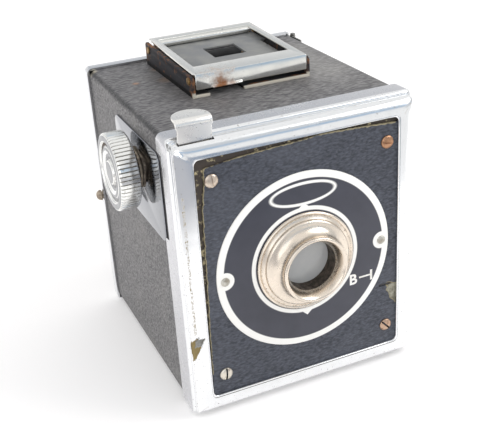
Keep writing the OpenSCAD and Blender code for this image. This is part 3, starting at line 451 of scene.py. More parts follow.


# %% [markdown]
# The finishes differ as the hands and the polishing wheel left them. Nickel is a warm
# white, chrome a colder one, and places that fingers rub are duller than the rest.
# The bezel's band and the knob's face are also drawn greyer than their metal, as painted shade.

# %% Plated finishes
# Nickel on the trim and the window ring, rarely touched: a sharp, even mirror.
bright = plating("bright_nickel_plating", "#DEDFE1", 0.10, 0.02, -0.02)
# Nickel that a thumb has rubbed to satin: soft, broad highlights.
tab_plating = plating("rubbed_tab_plating", "#F0EEEA", 0.24, 0.03, -0.01)
# Chrome of the moulding: bright, with khaki dirt and painted shade in its grooves and mitres, painted
# shade in its dent, and a slight waviness.
bezel_plating = plating(
    "worn_bezel_plating", "#F0F1F2", 0.12, 0.028, -0.01, ripple=0.07, grime_and_shade=("flaking_and_shade", "#8C7B50")
)
# The same chrome where hands hold the band: blurred by them, and greyer as painted shade, the floor
# in the case's shadow that it mirrors.
band_plating = plating("hand_dulled_and_shaded_band_plating", "#D6D6D9", 0.22, 0.02, -0.02, ripple=0.03)
# Chrome of the finder's frame, with one rusty stain low on its front.
finder_plating = plating(
    "finder_frame_plating", "#E8E7E2", 0.15, 0.03, -0.01, rust_place=(at(-9, 32.6, 46.4), 0.0095)
)
# Nickel on the knurled knob: bright ribs, with grey dirt and painted shade between them, and painted
# shade in the face's rings.
knob_plating = plating(
    "knob_plating", "#F2F2EF", 0.16, 0.01, -0.02, ripple=0.02, grime_and_shade=("grime_and_shade", "#8A8278")
)
# The face of the knob: rubbed to a softer shine, and drawn a mid grey as painted shade, with soft
# rings of light.
knob_face_plating = plating(
    "shaded_knob_face_plating", "#98999B", 0.24, 0.02, -0.02, ripple=0.02, grime_and_shade=("grime_and_shade", "#5E544A")
)
# Nickel on spun brass, which shines through it as a warm cast.
hood_nickel = plating(
    "warm_spun_nickel", "#E8DCCD", 0.22, 0.0, -0.02, ripple=0.02, grime_and_shade=("grime_and_shade", "#7E6A50")
)
# The flat sheet behind the knob: a mirror so flat that it shows the cloth beside it.
knob_plate_finish = plating("mirror_bright_plate", "#929499", 0.05, 0.0, -0.02, ripple=0.004)
print("finishes so far:", len(bpy.data.materials))

# %% [markdown]
# ## Leathercloth
# The covering is cloth coated with nitrocellulose and rolled between engraved rollers. It
# gives a grain of small wrinkles, which run across the camera and are about 0.7 mm
# apart, wide enough to show in the picture. The wrinkles' tops are rubbed smooth and
# shine a little, and the valleys hold grey dust. The grain comes from a noise for the
# wrinkles and smooth cells for the pebbles between them, both stretched along x.

# %% Stains, painted light and fraying of leathercloth
WRINKLE = 0.6667
PEBBLE = 0.5882
DUSTY_PATCH = 16.67


def stain_and_painted_light_on_cloth(tree, colour, place, broad, tinted_spot):
    """The colour with one tinted spot: a stain, a painted sheen or painted shade, as (middle, squeeze
    of the distance, reach, tint, strength).
    """
    middle, squeeze, reach, tint, strength = tinted_spot
    squeezed = node(
        tree, "VectorMath", {0: place, 1: squeeze}, operation="MULTIPLY"
    ).outputs["Vector"]
    away = node(
        tree,
        "VectorMath",
        {0: squeezed, 1: [a * b for a, b in zip(middle, squeeze)]},
        operation="DISTANCE",
    )
    uneven = node(
        tree,
        "Math",
        {0: broad, 1: reach, 2: away.outputs["Value"]},
        operation="MULTIPLY_ADD",
    )
    spot = node(
        tree,
        "MapRange",
        {"Value": uneven.outputs[0], "From Min": reach * 1.5, "From Max": reach * 0.6,
         "To Max": strength},
        interpolation_type="SMOOTHSTEP",
    )
    return node(
        tree,
        "Mix",
        {"Factor": spot.outputs["Result"], "A": colour, "B": linear(tint)},
        data_type="RGBA",
    ).outputs["Result"]


def fraying_of_cloth(tree, colour, wrinkle):
    """The colour with the khaki weave bared where the mesh's wear attribute is high."""
    wear = node(tree, "Attribute", attribute_name="wear").outputs["Fac"]
    rubbed = node(
        tree, "Math", {0: wrinkle, 1: 1.1, 2: -0.55}, operation="MULTIPLY_ADD"
    ).outputs[0]
    fray = node(tree, "Math", {0: wear, 1: rubbed}, operation="ADD").outputs[0]
    frayed = node(
        tree,
        "MapRange",
        {"Value": fray, "From Min": 0.5, "From Max": 0.7},
        interpolation_type="SMOOTHSTEP",
    )
    return node(
        tree,
        "Mix",
        {"Factor": frayed.outputs["Result"], "A": colour, "B": linear("#8E8467")},
        data_type="RGBA",
    ).outputs["Result"]


print("wrinkles are drawn", WRINKLE, "mm apart")

# %% [markdown]
# Height and colour come from the same grain, so each wrinkle is light where it stands up.
# The front is navy black. The case is greyer, warmer and lighter, partly as painted sheen
# from the white room at a grazing view. It has brown spots beside the finder, a painted sheen
# at the right, a dark line along its upper edge, and painted shade beside the plate.


# %% Leathercloth
def leathercloth(name, valley, top, dust, roughness, streak, edge_wear=False, stains_and_painted_light=()):
    """Coated cloth in the colours of its valleys, tops and dust."""
    finish, tree, shader, place = new_finish(name)
    stretched = node(
        tree, "Mapping", {"Vector": place, "Scale": (streak, 1.0, 1.0)}
    ).outputs["Vector"]
    wrinkle = node(
        tree,
        "TexNoise",
        {"Vector": stretched, "Scale": cells(WRINKLE), "Detail": 2.0,
         "Roughness": 0.55, "Distortion": 0.8},
    ).outputs["Fac"]
    pebble = node(
        tree,
        "TexVoronoi",
        {"Vector": stretched, "Scale": cells(PEBBLE), "Smoothness": 0.5},
        feature="SMOOTH_F1",
    )
    broad = node(
        tree, "TexNoise", {"Vector": place, "Scale": cells(DUSTY_PATCH), "Detail": 3.0}
    ).outputs["Fac"]
    raised = node(
        tree,
        "Math",
        {0: pebble.outputs["Distance"], 1: -0.5, 2: wrinkle},
        operation="MULTIPLY_ADD",
    ).outputs[0]
    tops = node(
        tree, "MapRange", {"Value": raised, "From Min": 0.05, "From Max": 0.5}
    ).outputs["Result"]
    grain = node(
        tree, "Mix", {"Factor": tops, "A": linear(valley), "B": linear(top)}, data_type="RGBA"
    )
    dusted = node(
        tree, "MapRange", {"Value": broad, "From Min": 0.5, "From Max": 0.75, "To Max": 0.35}
    )
    colour = node(
        tree,
        "Mix",
        {"Factor": dusted.outputs["Result"], "A": grain.outputs["Result"], "B": linear(dust)},
        data_type="RGBA",
    ).outputs["Result"]
    for tinted_spot in stains_and_painted_light:
        colour = stain_and_painted_light_on_cloth(tree, colour, place, broad, tinted_spot)
    if edge_wear:
        colour = fraying_of_cloth(tree, colour, wrinkle)
    tree.links.new(colour, shader.inputs["Base Color"])
    gloss = node(
        tree, "MapRange", {"Value": tops, "To Min": roughness + 0.2, "To Max": roughness}
    )
    tree.links.new(gloss.outputs["Result"], shader.inputs["Roughness"])
    bump = node(tree, "Bump", {"Height": raised, "Strength": 0.9, "Distance": 0.16 * MM})
    tree.links.new(bump.outputs["Normal"], shader.inputs["Normal"])
    return finish


ROUND, ALONG_EDGE, ALONG_PLATE = (1, 1, 1), (1, 0, 1), (1, 1, 0.15)
RUST_SPOT, BROWN_SPOT, DULL_SPOT = "#AD7B52", "#8A6E58", "#7E6C5C"
# The pale patch is a painted sheen, and the dark line beside the plate is painted shade.
GLUE_SPOT, PAINTED_SHEEN, DARK_LINE = "#C9BFA5", "#A5A29D", "#202022"
front_cloth_finish = leathercloth(
    "navy_black_leathercloth", "#292C35", "#474B56", "#585B64", 0.34, 0.45, edge_wear=True
)
# The case cloth is lighter than the front's partly as painted sheen of the white room.
case_cloth_finish = leathercloth(
    "grey_black_leathercloth", "#434144", "#787675", "#7E7B77", 0.36, 0.3,
    stains_and_painted_light=[(at(-28.3, 57.3, 42.9), ROUND, 0.0017, RUST_SPOT, 0.6),
            (at(-17.8, 67.8, 42.9), ROUND, 0.003, BROWN_SPOT, 0.6),
            (at(-18.9, 55.8, 42.9), ROUND, 0.004, DULL_SPOT, 0.6),
            (at(-36.5, 78.2, 42.9), ROUND, 0.0022, GLUE_SPOT, 0.7),
            # A painted sheen at the right:
            (at(26.0, 48.0, 43.2), (1, 0.4, 1), 0.016, PAINTED_SHEEN, 0.4),
            (at(-36.9, 0, 42.8), ALONG_EDGE, 0.0014, DARK_LINE, 0.85),
            # Painted shade in the gap between the bezel's notch and the knob's plate:
            (at(-37.3, 9.8, 24.0), ALONG_PLATE, 0.0025, DARK_LINE, 0.85)],
)
print("case cloth:", len(case_cloth_finish.node_tree.nodes), "nodes")

# %% [markdown]
# ## Paints, inner metal and brass
# The rest are simple finishes, but none is one flat colour: paint has a fine orange
# peel and rubbed places, rolled steel is patchy, brass is tarnished. One function
# mixes two colours by a noise of a stated grain in millimetres, and gives the surface a
# little relief. A cell of the noise holds a light and a dark grain, so it is twice as
# wide as one.


# %% Mottled finishes
def mottled(name, first, second, grain, metallic, roughness, relief=0.02, low=0.4, high=0.65):
    """Two colours in grains this many millimetres wide, the second one the rougher."""
    finish, tree, shader, place = new_finish(name)
    spots = node(
        tree,
        "TexNoise",
        {"Vector": place, "Scale": cells(2 * grain), "Detail": 4.0, "Roughness": 0.65},
    ).outputs["Fac"]
    mask = node(
        tree, "MapRange", {"Value": spots, "From Min": low, "From Max": high}
    ).outputs["Result"]
    colour = node(
        tree, "Mix", {"Factor": mask, "A": linear(first), "B": linear(second)}, data_type="RGBA"
    )
    tree.links.new(colour.outputs["Result"], shader.inputs["Base Color"])
    shader.inputs["Metallic"].default_value = metallic
    rough = node(
        tree, "MapRange", {"Value": mask, "To Min": roughness, "To Max": roughness + 0.2}
    )
    tree.links.new(rough.outputs["Result"], shader.inputs["Roughness"])
    bump = node(tree, "Bump", {"Height": spots, "Strength": 0.6, "Distance": relief * MM})
    tree.links.new(bump.outputs["Normal"], shader.inputs["Normal"])
    return finish


# Matt enamel of the inside: nearly black, so that stray light dies in it.
black_enamel = mottled("matt_black_enamel", "#1B1B1C", "#2A2A2A", 0.6, 0.0, 0.55)
# Once black paint of the sight, greyed by dust and thumbs to a soft sheen.
sight_paint = mottled("dusty_grey_paint", "#6E6F70", "#858582", 3.0, 0.0, 0.4)
# Bare rolled steel: grey, with a dull and slightly blotchy shine.
steel = mottled("plain_rolled_steel", "#9A9A97", "#7F7D78", 0.8, 1.0, 0.35)
# Hardened spring steel: a darker metal with a cast of blue.
spring_steel = mottled("blued_spring_steel", "#55585E", "#6A6C70", 0.8, 1.0, 0.3)
# Turned brass: yellow where it was handled, brown where it tarnished.
brass = mottled("tarnished_brass", "#B79B6A", "#8E6A48", 0.9, 1.0, 0.35)
# Soft aluminium of the two domed pins: pale, with a satin shine.
aluminium_pin = mottled("dull_aluminium_rivet", "#C9C6BE", "#A29B8E", 0.8, 1.0, 0.38)
# The panel's steel under the shrunk cloth: brown, with pale crumbs of old glue.
glued_steel = mottled(
    "glue_stained_steel", "#382F27", "#B5A883", 0.9, 0.0, 0.6, relief=0.06, low=0.56, high=0.66
)
# The bare weave behind the coating: grey-khaki, matt and fibrous.
torn_backing = mottled("torn_cloth_backing", "#A9A696", "#7C786A", 0.6, 0.0, 0.8, relief=0.1)
# Enamel of the control marks: white that has yellowed slightly.
white_print = mottled("aged_white_enamel", "#F4F2EE", "#E2DED6", 2.0, 0.0, 0.4)
# Steel blacked in a hot bath: a dark metal that still glints.
shutter_black = mottled("chemically_blacked_steel", "#3C3C3E", "#4A4A4B", 0.7, 0.7, 0.4)
# Nickel under a film of brown dirt: half a metal to the eye.
dirty_nickel = mottled("dirt_darkened_nickel", "#BFB19E", "#8A7D70", 0.7, 0.7, 0.4)
# The hood's bore: a brown-black lining as painted shade, which glints only at its edge.
bore_wall = mottled("bore_lining_painted_shade", "#5A5046", "#2B2622", 0.9, 0.3, 0.5)
# Small brass rivets of the finder, crusted with rust from the steel beside them.
pin_brass = mottled("rusty_brass_rivet", "#A98A58", "#5E4532", 0.6, 0.6, 0.4)
# Enamel of the spool: black and a little glossier than the box.
spool_paint = mottled("black_spool_enamel", "#202123", "#303133", 0.9, 0.0, 0.35)
print("finishes so far:", len(bpy.data.materials))

# %% [markdown]
# ## Glass
# The lens is one meniscus of clear glass, filmed with dust. The window in the back is a
# disc of red celluloid, filmed with handling. Both let light through, and the film is a
# patchwork of about 2 mm that is paler or darker, and rougher, than the clear places.
# Celluloid bends light nearly as much as crown glass does, so both take its index.

# %% Glass
DUST_PATCH = 2.381
CROWN_GLASS_IOR = 1.52


def clear_sheet(name, tint, film_tint, roughness, see_through, haze):
    """Clear glass or celluloid; haze is how much rougher its film makes it."""
    finish, tree, shader, place = new_finish(name)
    shader.inputs["IOR"].default_value = CROWN_GLASS_IOR
    shader.inputs["Transmission Weight"].default_value = see_through
    dust = node(
        tree, "TexNoise", {"Vector": place, "Scale": cells(DUST_PATCH), "Detail": 5.0}
    ).outputs["Fac"]
    film = node(
        tree,
        "MapRange",
        {"Value": dust, "From Min": 0.35, "From Max": 0.7,
         "To Min": roughness, "To Max": roughness + haze},
    )
    tree.links.new(film.outputs["Result"], shader.inputs["Roughness"])
    colour = node(
        tree, "Mix", {"Factor": dust, "A": linear(tint), "B": linear(film_tint)}, data_type="RGBA"
    )
    tree.links.new(colour.outputs["Result"], shader.inputs["Base Color"])
    return finish


# Crown glass under dust: a milky grey more than a clear hole.
lens_glass = clear_sheet("dusty_lens_glass", "#C6C7C9", "#D8D8D4", 0.08, 0.25, 0.16)
# Celluloid dyed red, so that the film's backing paper isn't fogged: clear and deep.
red_celluloid = clear_sheet("red_celluloid", "#A31414", "#8F1512", 0.08, 0.8, 0.06)
print("glass:", lens_glass.name, "and", red_celluloid.name)

# %% [markdown]
# ## The printed plate
# The round plate behind the hood is enamelled sheet metal: a blue-black field, a white
# ring at its edge and another round the hood, a half-round white ear at each pin, two
# small pointers and an empty oval frame at the top. All of it is flat print, so it is
# drawn in the finish: each shape is a distance in millimetres compared with a limit, and
# the largest of the masks chooses white.

# %% Measures of the print, in millimetres
PIN_PLACE = 25.45
EAR_RADIUS = 2.8
OVAL_HEIGHT = 21.35
OVAL_OUTSIDE = (10.6, 3.6)
OVAL_INSIDE = (9.7, 2.75)
EDGE_RING = 25.84
HOOD_RING = (15.95, 17.2)
POINTER_TIP, POINTER_FOOT, POINTER_SIDE, POINTER_SLOPE = 18.5, 16.4, 2.0, 0.9
PRINT_BLUR = 0.12
CENTRE, BEYOND = -1.0, 60.0
SCRATCH, SMOKY_PATCH = 1.111, 6.25


def distances_on_plate(tree, place):
    """Distances in millimetres from the lens axis, the pins and the oval's middle."""
    to_axis = node(
        tree, "VectorMath", {0: place, 1: (0.0, 0.0, -LENS_HEIGHT * MM)}, operation="ADD"
    ).outputs["Vector"]
    in_mm = node(tree, "VectorMath", {0: to_axis, "Scale": 1.0 / MM}, operation="SCALE")
    parts = node(tree, "SeparateXYZ", {"Vector": in_mm.outputs["Vector"]}).outputs
    flat = node(tree, "CombineXYZ", {"X": parts["X"], "Z": parts["Z"]}).outputs["Vector"]
    across = node(tree, "Math", {0: parts["X"]}, operation="ABSOLUTE").outputs[0]
    up = node(tree, "Math", {0: parts["Z"]}, operation="ABSOLUTE").outputs[0]
    found = {
        "axis": node(tree, "VectorMath", {0: flat}, operation="LENGTH").outputs["Value"],
        "across": across,
        "up": up,
        "tip": node(
            tree, "Math", {0: across, 1: POINTER_SLOPE, 2: up}, operation="MULTIPLY_ADD"
        ).outputs[0],
    }
    for title, centre, squeeze in (
        ("left ear", (-PIN_PLACE, 0.0, 0.0), 1.0),
        ("right ear", (PIN_PLACE, 0.0, 0.0), 1.0),
        ("oval outside", (0.0, 0.0, OVAL_HEIGHT), OVAL_OUTSIDE[1] / OVAL_OUTSIDE[0]),
        ("oval inside", (0.0, 0.0, OVAL_HEIGHT), OVAL_INSIDE[1] / OVAL_INSIDE[0]),
    ):
        moved = node(tree, "VectorMath", {0: flat, 1: centre}, operation="SUBTRACT")
        squeezed = node(
            tree,
            "VectorMath",
            {0: moved.outputs["Vector"], 1: (squeeze, 0.0, 1.0)},
            operation="MULTIPLY",
        )
        found[title] = node(
            tree, "VectorMath", {0: squeezed.outputs["Vector"]}, operation="LENGTH"
        ).outputs["Value"]
    return found


print("oval frame:", [2 * half for half in OVAL_OUTSIDE], "mm wide and high")

# %% [markdown]
# A shape is a list of limits, each a distance with the least and the most that it may be,
# and a point is white where one shape's limits all hold. The enamel is scratched through
# in places and smoky in others, and the white stands a little proud of the field.

# %% White shapes of the print
PRINTED_SHAPES = [
    [("axis", EDGE_RING, BEYOND)],
    [("axis", *HOOD_RING)],
    [("left ear", CENTRE, EAR_RADIUS)],
    [("right ear", CENTRE, EAR_RADIUS)],
    [("tip", CENTRE, POINTER_TIP), ("up", POINTER_FOOT, BEYOND), ("across", CENTRE, POINTER_SIDE)],
    [("oval outside", CENTRE, OVAL_OUTSIDE[1]), ("oval inside", OVAL_INSIDE[1], BEYOND)],
]


def white_of_print(tree, found):
    """1 where any of the printed shapes covers the plate, and 0 elsewhere."""
    white = 0.0
    for limits in PRINTED_SHAPES:
        shape = 1.0
        for title, low, high in limits:
            past = node(
                tree,
                "MapRange",
                {"Value": found[title], "From Min": low - PRINT_BLUR, "From Max": low + PRINT_BLUR},
            )
            short = node(
                tree,
                "MapRange",
                {"Value": found[title], "From Min": high + PRINT_BLUR, "From Max": high - PRINT_BLUR},
            )
            between = node(
                tree,
                "Math",
                {0: past.outputs["Result"], 1: short.outputs["Result"]},
                operation="MULTIPLY",
            )
            shape = node(
                tree, "Math", {0: between.outputs[0], 1: shape}, operation="MULTIPLY"
            ).outputs[0]
        white = node(tree, "Math", {0: shape, 1: white}, operation="MAXIMUM").outputs[0]
    return white


print("printed shapes:", len(PRINTED_SHAPES))

# %% [markdown]
# The masks choose between the field and the white. Chips take white away again.


# %% Printed plate
def printed_plate():
    """Blue-black enamel with white rings: hard, even and a little glossy."""
    finish, tree, shader, place = new_finish("enamelled_plate_with_rings")
    white = white_of_print(tree, distances_on_plate(tree, place))
    scratch = node(
        tree,
        "TexNoise",
        {"Vector": place, "Scale": cells(SCRATCH), "Detail": 5.0, "Roughness": 0.75},
    ).outputs["Fac"]
    chipped = node(tree, "MapRange", {"Value": scratch, "From Min": 0.68, "From Max": 0.74})
    kept = node(
        tree, "Math", {0: 1.0, 1: chipped.outputs["Result"]}, operation="SUBTRACT"
    ).outputs[0]
    white = node(tree, "Math", {0: white, 1: kept}, operation="MULTIPLY").outputs[0]
    smoke = node(tree, "TexNoise", {"Vector": place, "Scale": cells(SMOKY_PATCH), "Detail": 4.0})
    field = node(
        tree,
        "Mix",
        {"Factor": smoke.outputs["Fac"], "A": linear("#30313B"), "B": linear("#43444E")},
        data_type="RGBA",
    )
    print_colour = node(
        tree,
        "Mix",
        {"Factor": white, "A": field.outputs["Result"], "B": linear("#F3F1EC")},
        data_type="RGBA",
    )
    tree.links.new(print_colour.outputs["Result"], shader.inputs["Base Color"])
    shine = node(tree, "MapRange", {"Value": scratch, "To Min": 0.28, "To Max": 0.5})
    tree.links.new(shine.outputs["Result"], shader.inputs["Roughness"])
    bump = node(tree, "Bump", {"Height": white, "Strength": 0.5, "Distance": 0.03 * MM})
    tree.links.new(bump.outputs["Normal"], shader.inputs["Normal"])
    return finish


plate_finish = printed_plate()
print("printed plate:", len(plate_finish.node_tree.nodes), "nodes")

# %% [markdown]
# ## Modelling helpers
# Each piece is modelled as by hand: a primitive is added at its size and place, and
# edit-mode operators shape it. Operators work on what is selected, so everything is
# deselected first. A finished piece has its place in its mesh, its doubles merged and
# its faces turned outwards. Bent sheet and turned metal have no razor edge, so a small
# bevel rounds each sharp one, and the rest is shaded smooth.


# %% Selecting, settling and dressing
SAME_POINT = 0.002
SHADING_ANGLE = 38.0
pieces_made = []


def only(*objects):
    """Leaves edit mode and selects these objects alone, the first one active."""
    if bpy.context.object and bpy.context.object.mode != "OBJECT":
        bpy.ops.object.mode_set(mode="OBJECT")
    bpy.ops.object.select_all(action="DESELECT")
    for obj in objects:
        obj.select_set(True)
    bpy.context.view_layer.objects.active = objects[0]


def edit(obj, mode="FACE"):
    """Opens the object in edit mode with nothing selected."""
    only(obj)
    bpy.ops.object.mode_set(mode="EDIT")
    bpy.ops.mesh.select_mode(type=mode)
    bpy.ops.mesh.select_all(action="DESELECT")


def settle(obj, outward=True):
    """Puts the object's place into its mesh and points the faces outwards."""
    only(obj)
    bpy.ops.object.transform_apply(location=True, rotation=True, scale=True)
    if outward:
        edit(obj, "VERT")
        bpy.ops.mesh.select_all(action="SELECT")
        bpy.ops.mesh.remove_doubles(threshold=SAME_POINT * MM)
        bpy.ops.mesh.normals_make_consistent(inside=False)
        bpy.ops.object.mode_set(mode="OBJECT")
    return obj


def apply_modifier(obj, kind, **settings):
    """Adds a modifier with its settings and applies it at once."""
    only(obj)
    modifier = obj.modifiers.new(kind.lower(), kind)
    for name, value in settings.items():
        setattr(modifier, name, value)
    bpy.ops.object.modifier_apply(modifier=modifier.name)
    return obj


def soften(obj, width, steps=3, angle=30.0):
    """Rounds edges sharper than the angle by a width in mm and shades the rest smooth."""
    if width:
        apply_modifier(
            obj, "BEVEL", width=width * MM, segments=steps, limit_method="ANGLE",
            angle_limit=math.radians(angle), harden_normals=False, miter_outer="MITER_ARC",
        )
    only(obj)
    bpy.ops.object.shade_smooth_by_angle(angle=math.radians(SHADING_ANGLE))
    return obj


def dress(obj, body, finish, slot, *nodes):
    """Gives a finished piece its material, its body and the nodes it stands for. The slot is not
    used.
    """
    obj.data.materials.clear()
    obj.data.materials.append(finish)
    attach(obj, body)
    if nodes:
        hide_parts(*nodes)
    pieces_made.append(obj.name)
    print(obj.name, "rides on", body + ":", len(obj.data.polygons), "faces")
    return obj


print("points of one piece nearer than", SAME_POINT, "mm are merged")

# %% [markdown]
# Three kinds of start cover most of the camera: a block between two corners, a shape
# turned round an axis, and an outline with thickness. The turned one is a circle that is
# extruded and resized once for each point of its profile, as on a spinning lathe. Where
# the profile meets the axis its ring is nearly a point, and it is merged into one.

# %% Starting shapes
AXIS_RADIUS = 0.01
AXIS_MERGE = 0.015
TURNS = {
    "forward": (math.radians(90), 0, 0),
    "left": (0, math.radians(-90), 0),
}


def block(name, low, high):
    """A block between two corners, used for tools and for the straight dash."""
    middle = (at(*low) + at(*high)) / 2
    size = at(*high) - at(*low)
    bpy.ops.object.select_all(action="DESELECT")
    bpy.ops.mesh.primitive_cube_add(size=1.0, location=middle)
    obj = bpy.context.object
    obj.name = name
    obj.scale = size
    only(obj)
    bpy.ops.object.transform_apply(location=True, rotation=True, scale=True)
    return obj


def turned(name, centre, way, profile, steps=96, closed=False):
    """A profile of (radius, distance) in mm, turned about an axis that points that way."""
    rings = [(max(radius, AXIS_RADIUS), distance) for radius, distance in profile]
    if closed:
        rings.append(rings[0])
    r, h = rings[0]
    bpy.ops.object.select_all(action="DESELECT")
    bpy.ops.mesh.primitive_circle_add(
        vertices=steps, radius=r * MM, location=(0, 0, 0), fill_type="NOTHING"
    )
    obj = bpy.context.object
    obj.name = name
    bpy.ops.object.mode_set(mode="EDIT")
    bpy.ops.mesh.select_mode(type="VERT")
    bpy.ops.mesh.select_all(action="SELECT")
    bpy.ops.transform.translate(value=(0, 0, h * MM))
    for next_r, next_h in rings[1:]:
        bpy.ops.mesh.extrude_region_move(
            TRANSFORM_OT_translate={"value": (0, 0, (next_h - h) * MM)}
        )
        if abs(next_r - r) > 1e-6:
            bpy.ops.transform.resize(
                value=(next_r / r, next_r / r, 1), center_override=(0, 0, next_h * MM)
            )
        r, h = next_r, next_h
    bpy.ops.object.mode_set(mode="OBJECT")
    obj.location = at(*centre)
    obj.rotation_euler = TURNS[way]
    if not closed:
        edit(obj, "VERT")
        bpy.ops.mesh.select_all(action="SELECT")
        bpy.ops.mesh.remove_doubles(threshold=AXIS_MERGE * MM)
        bpy.ops.object.mode_set(mode="OBJECT")
    return settle(obj)


def loop_of(name, points, fill):
    """A circle with as many points as the list, each moved to its place in the list."""
    bpy.ops.object.select_all(action="DESELECT")
    bpy.ops.mesh.primitive_circle_add(vertices=len(points), radius=0.01, fill_type=fill)
    obj = bpy.context.object
    obj.name = name
    for vertex, point in zip(obj.data.vertices, points):
        vertex.co = at(*point)
    return obj


def outline(name, points, lift):
    """A flat face through the points, made solid by one extrusion along lift, in mm."""
    obj = loop_of(name, points, "NGON")
    edit(obj)
    bpy.ops.mesh.select_all(action="SELECT")
    bpy.ops.mesh.extrude_region_move(TRANSFORM_OT_translate={"value": Vector(lift) * MM})
    bpy.ops.object.mode_set(mode="OBJECT")
    return settle(obj)


def cut(obj, *tools):
    """Cuts the tools out of the object and throws them away."""
    for tool in tools:
        apply_modifier(obj, "BOOLEAN", object=tool, operation="DIFFERENCE", solver="EXACT")
        bpy.data.objects.remove(tool)
    return obj


def joined(name, parts):
    """Several objects made one."""
    only(*parts)
    bpy.ops.object.join()
    bpy.context.object.name = name
    return bpy.context.object


print("axes of turned pieces:", ", ".join(TURNS))

# %% [markdown]
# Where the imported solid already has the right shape, a copy of it is merged and softened.
# Its mesh is loose triangles, so doubles are merged, and flat faces are joined again with
# a small limit, because the bevel would round the lines between triangles too. A face
# with a hole can't be joined to one ring, so pieces with holes keep their triangles.

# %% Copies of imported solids
COPY_SAME_POINT = 0.004
FLAT_ANGLE = 0.6


def copy_of(name, source, join=True):
    """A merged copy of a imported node; its flat faces are joined again if none has a hole."""
    only(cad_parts[source])
    bpy.ops.object.duplicate()
    obj = bpy.context.object
    obj.parent = None
    for key in [key for key in obj.keys() if key.startswith("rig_")]:
        del obj[key]
    obj.name = name
    obj.data.name = name
    edit(obj, "VERT")
    bpy.ops.mesh.select_all(action="SELECT")
    bpy.ops.mesh.remove_doubles(threshold=COPY_SAME_POINT * MM)
    if join:
        bpy.ops.mesh.dissolve_limited(angle_limit=math.radians(FLAT_ANGLE))
    bpy.ops.object.mode_set(mode="OBJECT")
    return obj


print("packed nodes to copy from:", len(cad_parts))

# %% [markdown]
# ## The bezel
# The bezel is one pressing of thin steel: a flat band that grips the case, a fine bead
# between two grooves, a broad moulding, and a small raised lip round the opening. It
# starts as the ring of its rear edge, a rectangle with round corners. The ring is extruded
# and resized once for each point of the section, forwards along the outside and back along
# the inside, and its last copy meets the first, so the sheet is closed. The opening sits a
# little high and to the left of the middle, as on the real one.

# %% Section of the bezel
HALF_WIDTH, HALF_HEIGHT = 38.1, 44.0
OPENING = (-31.8, 30.95, -37.2, 38.25)
BAND_END = 10.3
BEAD_END = 2.3
LIP_FACE = -0.8


def inward(distance, depth):
    """One ring of the section, this far in from the outside: its four sides and depth."""
    return (distance - HALF_WIDTH, HALF_WIDTH - distance,
            distance - HALF_HEIGHT, HALF_HEIGHT - distance, depth)


def around_opening(distance, depth):
    """One ring of the section, this far outside the opening: its four sides and depth."""
    left, right, low, high = OPENING
    return (left - distance, right + distance, low - distance, high + distance, depth)


def quarter_round(start, width, height, degrees):
    """One ring of a rounded step that starts this far in and is this wide and high."""
    a = math.radians(degrees)
    return inward(start + width * (1 - math.cos(a)), BEAD_END - height * math.sin(a))


BAND_AND_BEAD = [(0.0, BAND_END), (0.0, 8.0), (0.0, 4.75), (0.05, 4.5), (0.2, 4.15),
                 (0.42, 3.85), (0.62, 3.68), (0.8, 3.62), (0.86, 3.44), (0.74, 3.24),
                 (0.7, 2.98), (0.8, 2.74), (0.96, 2.66), (1.04, 2.46), (0.98, BEAD_END)]
LIP = [(0.65, LIP_FACE), (0.6, -0.62), (0.5, -0.62), (0.42, LIP_FACE), (0.2, LIP_FACE),
       (0.06, -0.68), (0.0, -0.45), (0.0, -0.1), (0.45, -0.1), (0.6, -0.3)]
section = [inward(*point) for point in BAND_AND_BEAD]
section += [quarter_round(0.95, 4.1, 3.1, degrees) for degrees in range(6, 91, 6)]
section += [around_opening(*point) for point in LIP]
section += [quarter_round(1.45, 3.6, 2.6, degrees) for degrees in range(90, -1, -15)]
section += [inward(1.3, 3.6), inward(0.75, 5.0), inward(0.75, BAND_END), inward(0.0, BAND_END)]
print("bezel section:", len(section), "points")

# %% [markdown]
# The first ring needs its points where the shape will change later: close together at the
# ends of the notch and along the dent, and 3 mm apart elsewhere. Its corners have a
# radius of 2 mm.

# %% Points of the first ring
CORNER = 2.0
STRAIGHT_X, STRAIGHT_Z = HALF_WIDTH - CORNER, HALF_HEIGHT - CORNER
NOTCH = (12.8, 38.8)
DENT_LOW, DENT_TOP = -22.6, -16.2


def bezel_ring():
    """Points of the outer ring, close together at the notch and where it was knocked."""
    marks_x = [-STRAIGHT_X + 2 * STRAIGHT_X * i / 24 for i in range(25)]
    close = [DENT_LOW + 0.4 * i for i in range(14)] + [DENT_TOP, DENT_TOP + 0.2]
    close += [end + step for end in NOTCH for step in (-0.6, -0.3, 0.0, 0.3, 0.6)]
    marks_z = sorted({round(z, 2) for z in close} | {-STRAIGHT_Z + 3.0 * i for i in range(29)})
    arc = [math.radians(15 * i) for i in range(1, 6)]
    sines = [CORNER * math.sin(a) for a in arc]
    cosines = [CORNER * math.cos(a) for a in arc]
    ring = [(HALF_WIDTH, z) for z in marks_z]
    ring += [(STRAIGHT_X + c, STRAIGHT_Z + s) for c, s in zip(cosines, sines)]
    ring += [(x, HALF_HEIGHT) for x in reversed(marks_x)]
    ring += [(-STRAIGHT_X - s, STRAIGHT_Z + c) for c, s in zip(cosines, sines)]
    ring += [(-HALF_WIDTH, z) for z in reversed(marks_z)]
    ring += [(-STRAIGHT_X - c, -STRAIGHT_Z - s) for c, s in zip(cosines, sines)]
    ring += [(x, -HALF_HEIGHT) for x in marks_x]
    ring += [(STRAIGHT_X + s, -STRAIGHT_Z - c) for c, s in zip(cosines, sines)]
    return [(x, section[0][4], z) for x, z in ring]


print("first ring:", len(bezel_ring()), "points")

# %% [markdown]
# Each extrusion moves a copy of the ring to the middle and depth of the next one, and the
# resize gives it the next width and height. The slot that the release comes through is
# cut with a block, as a punch does it.

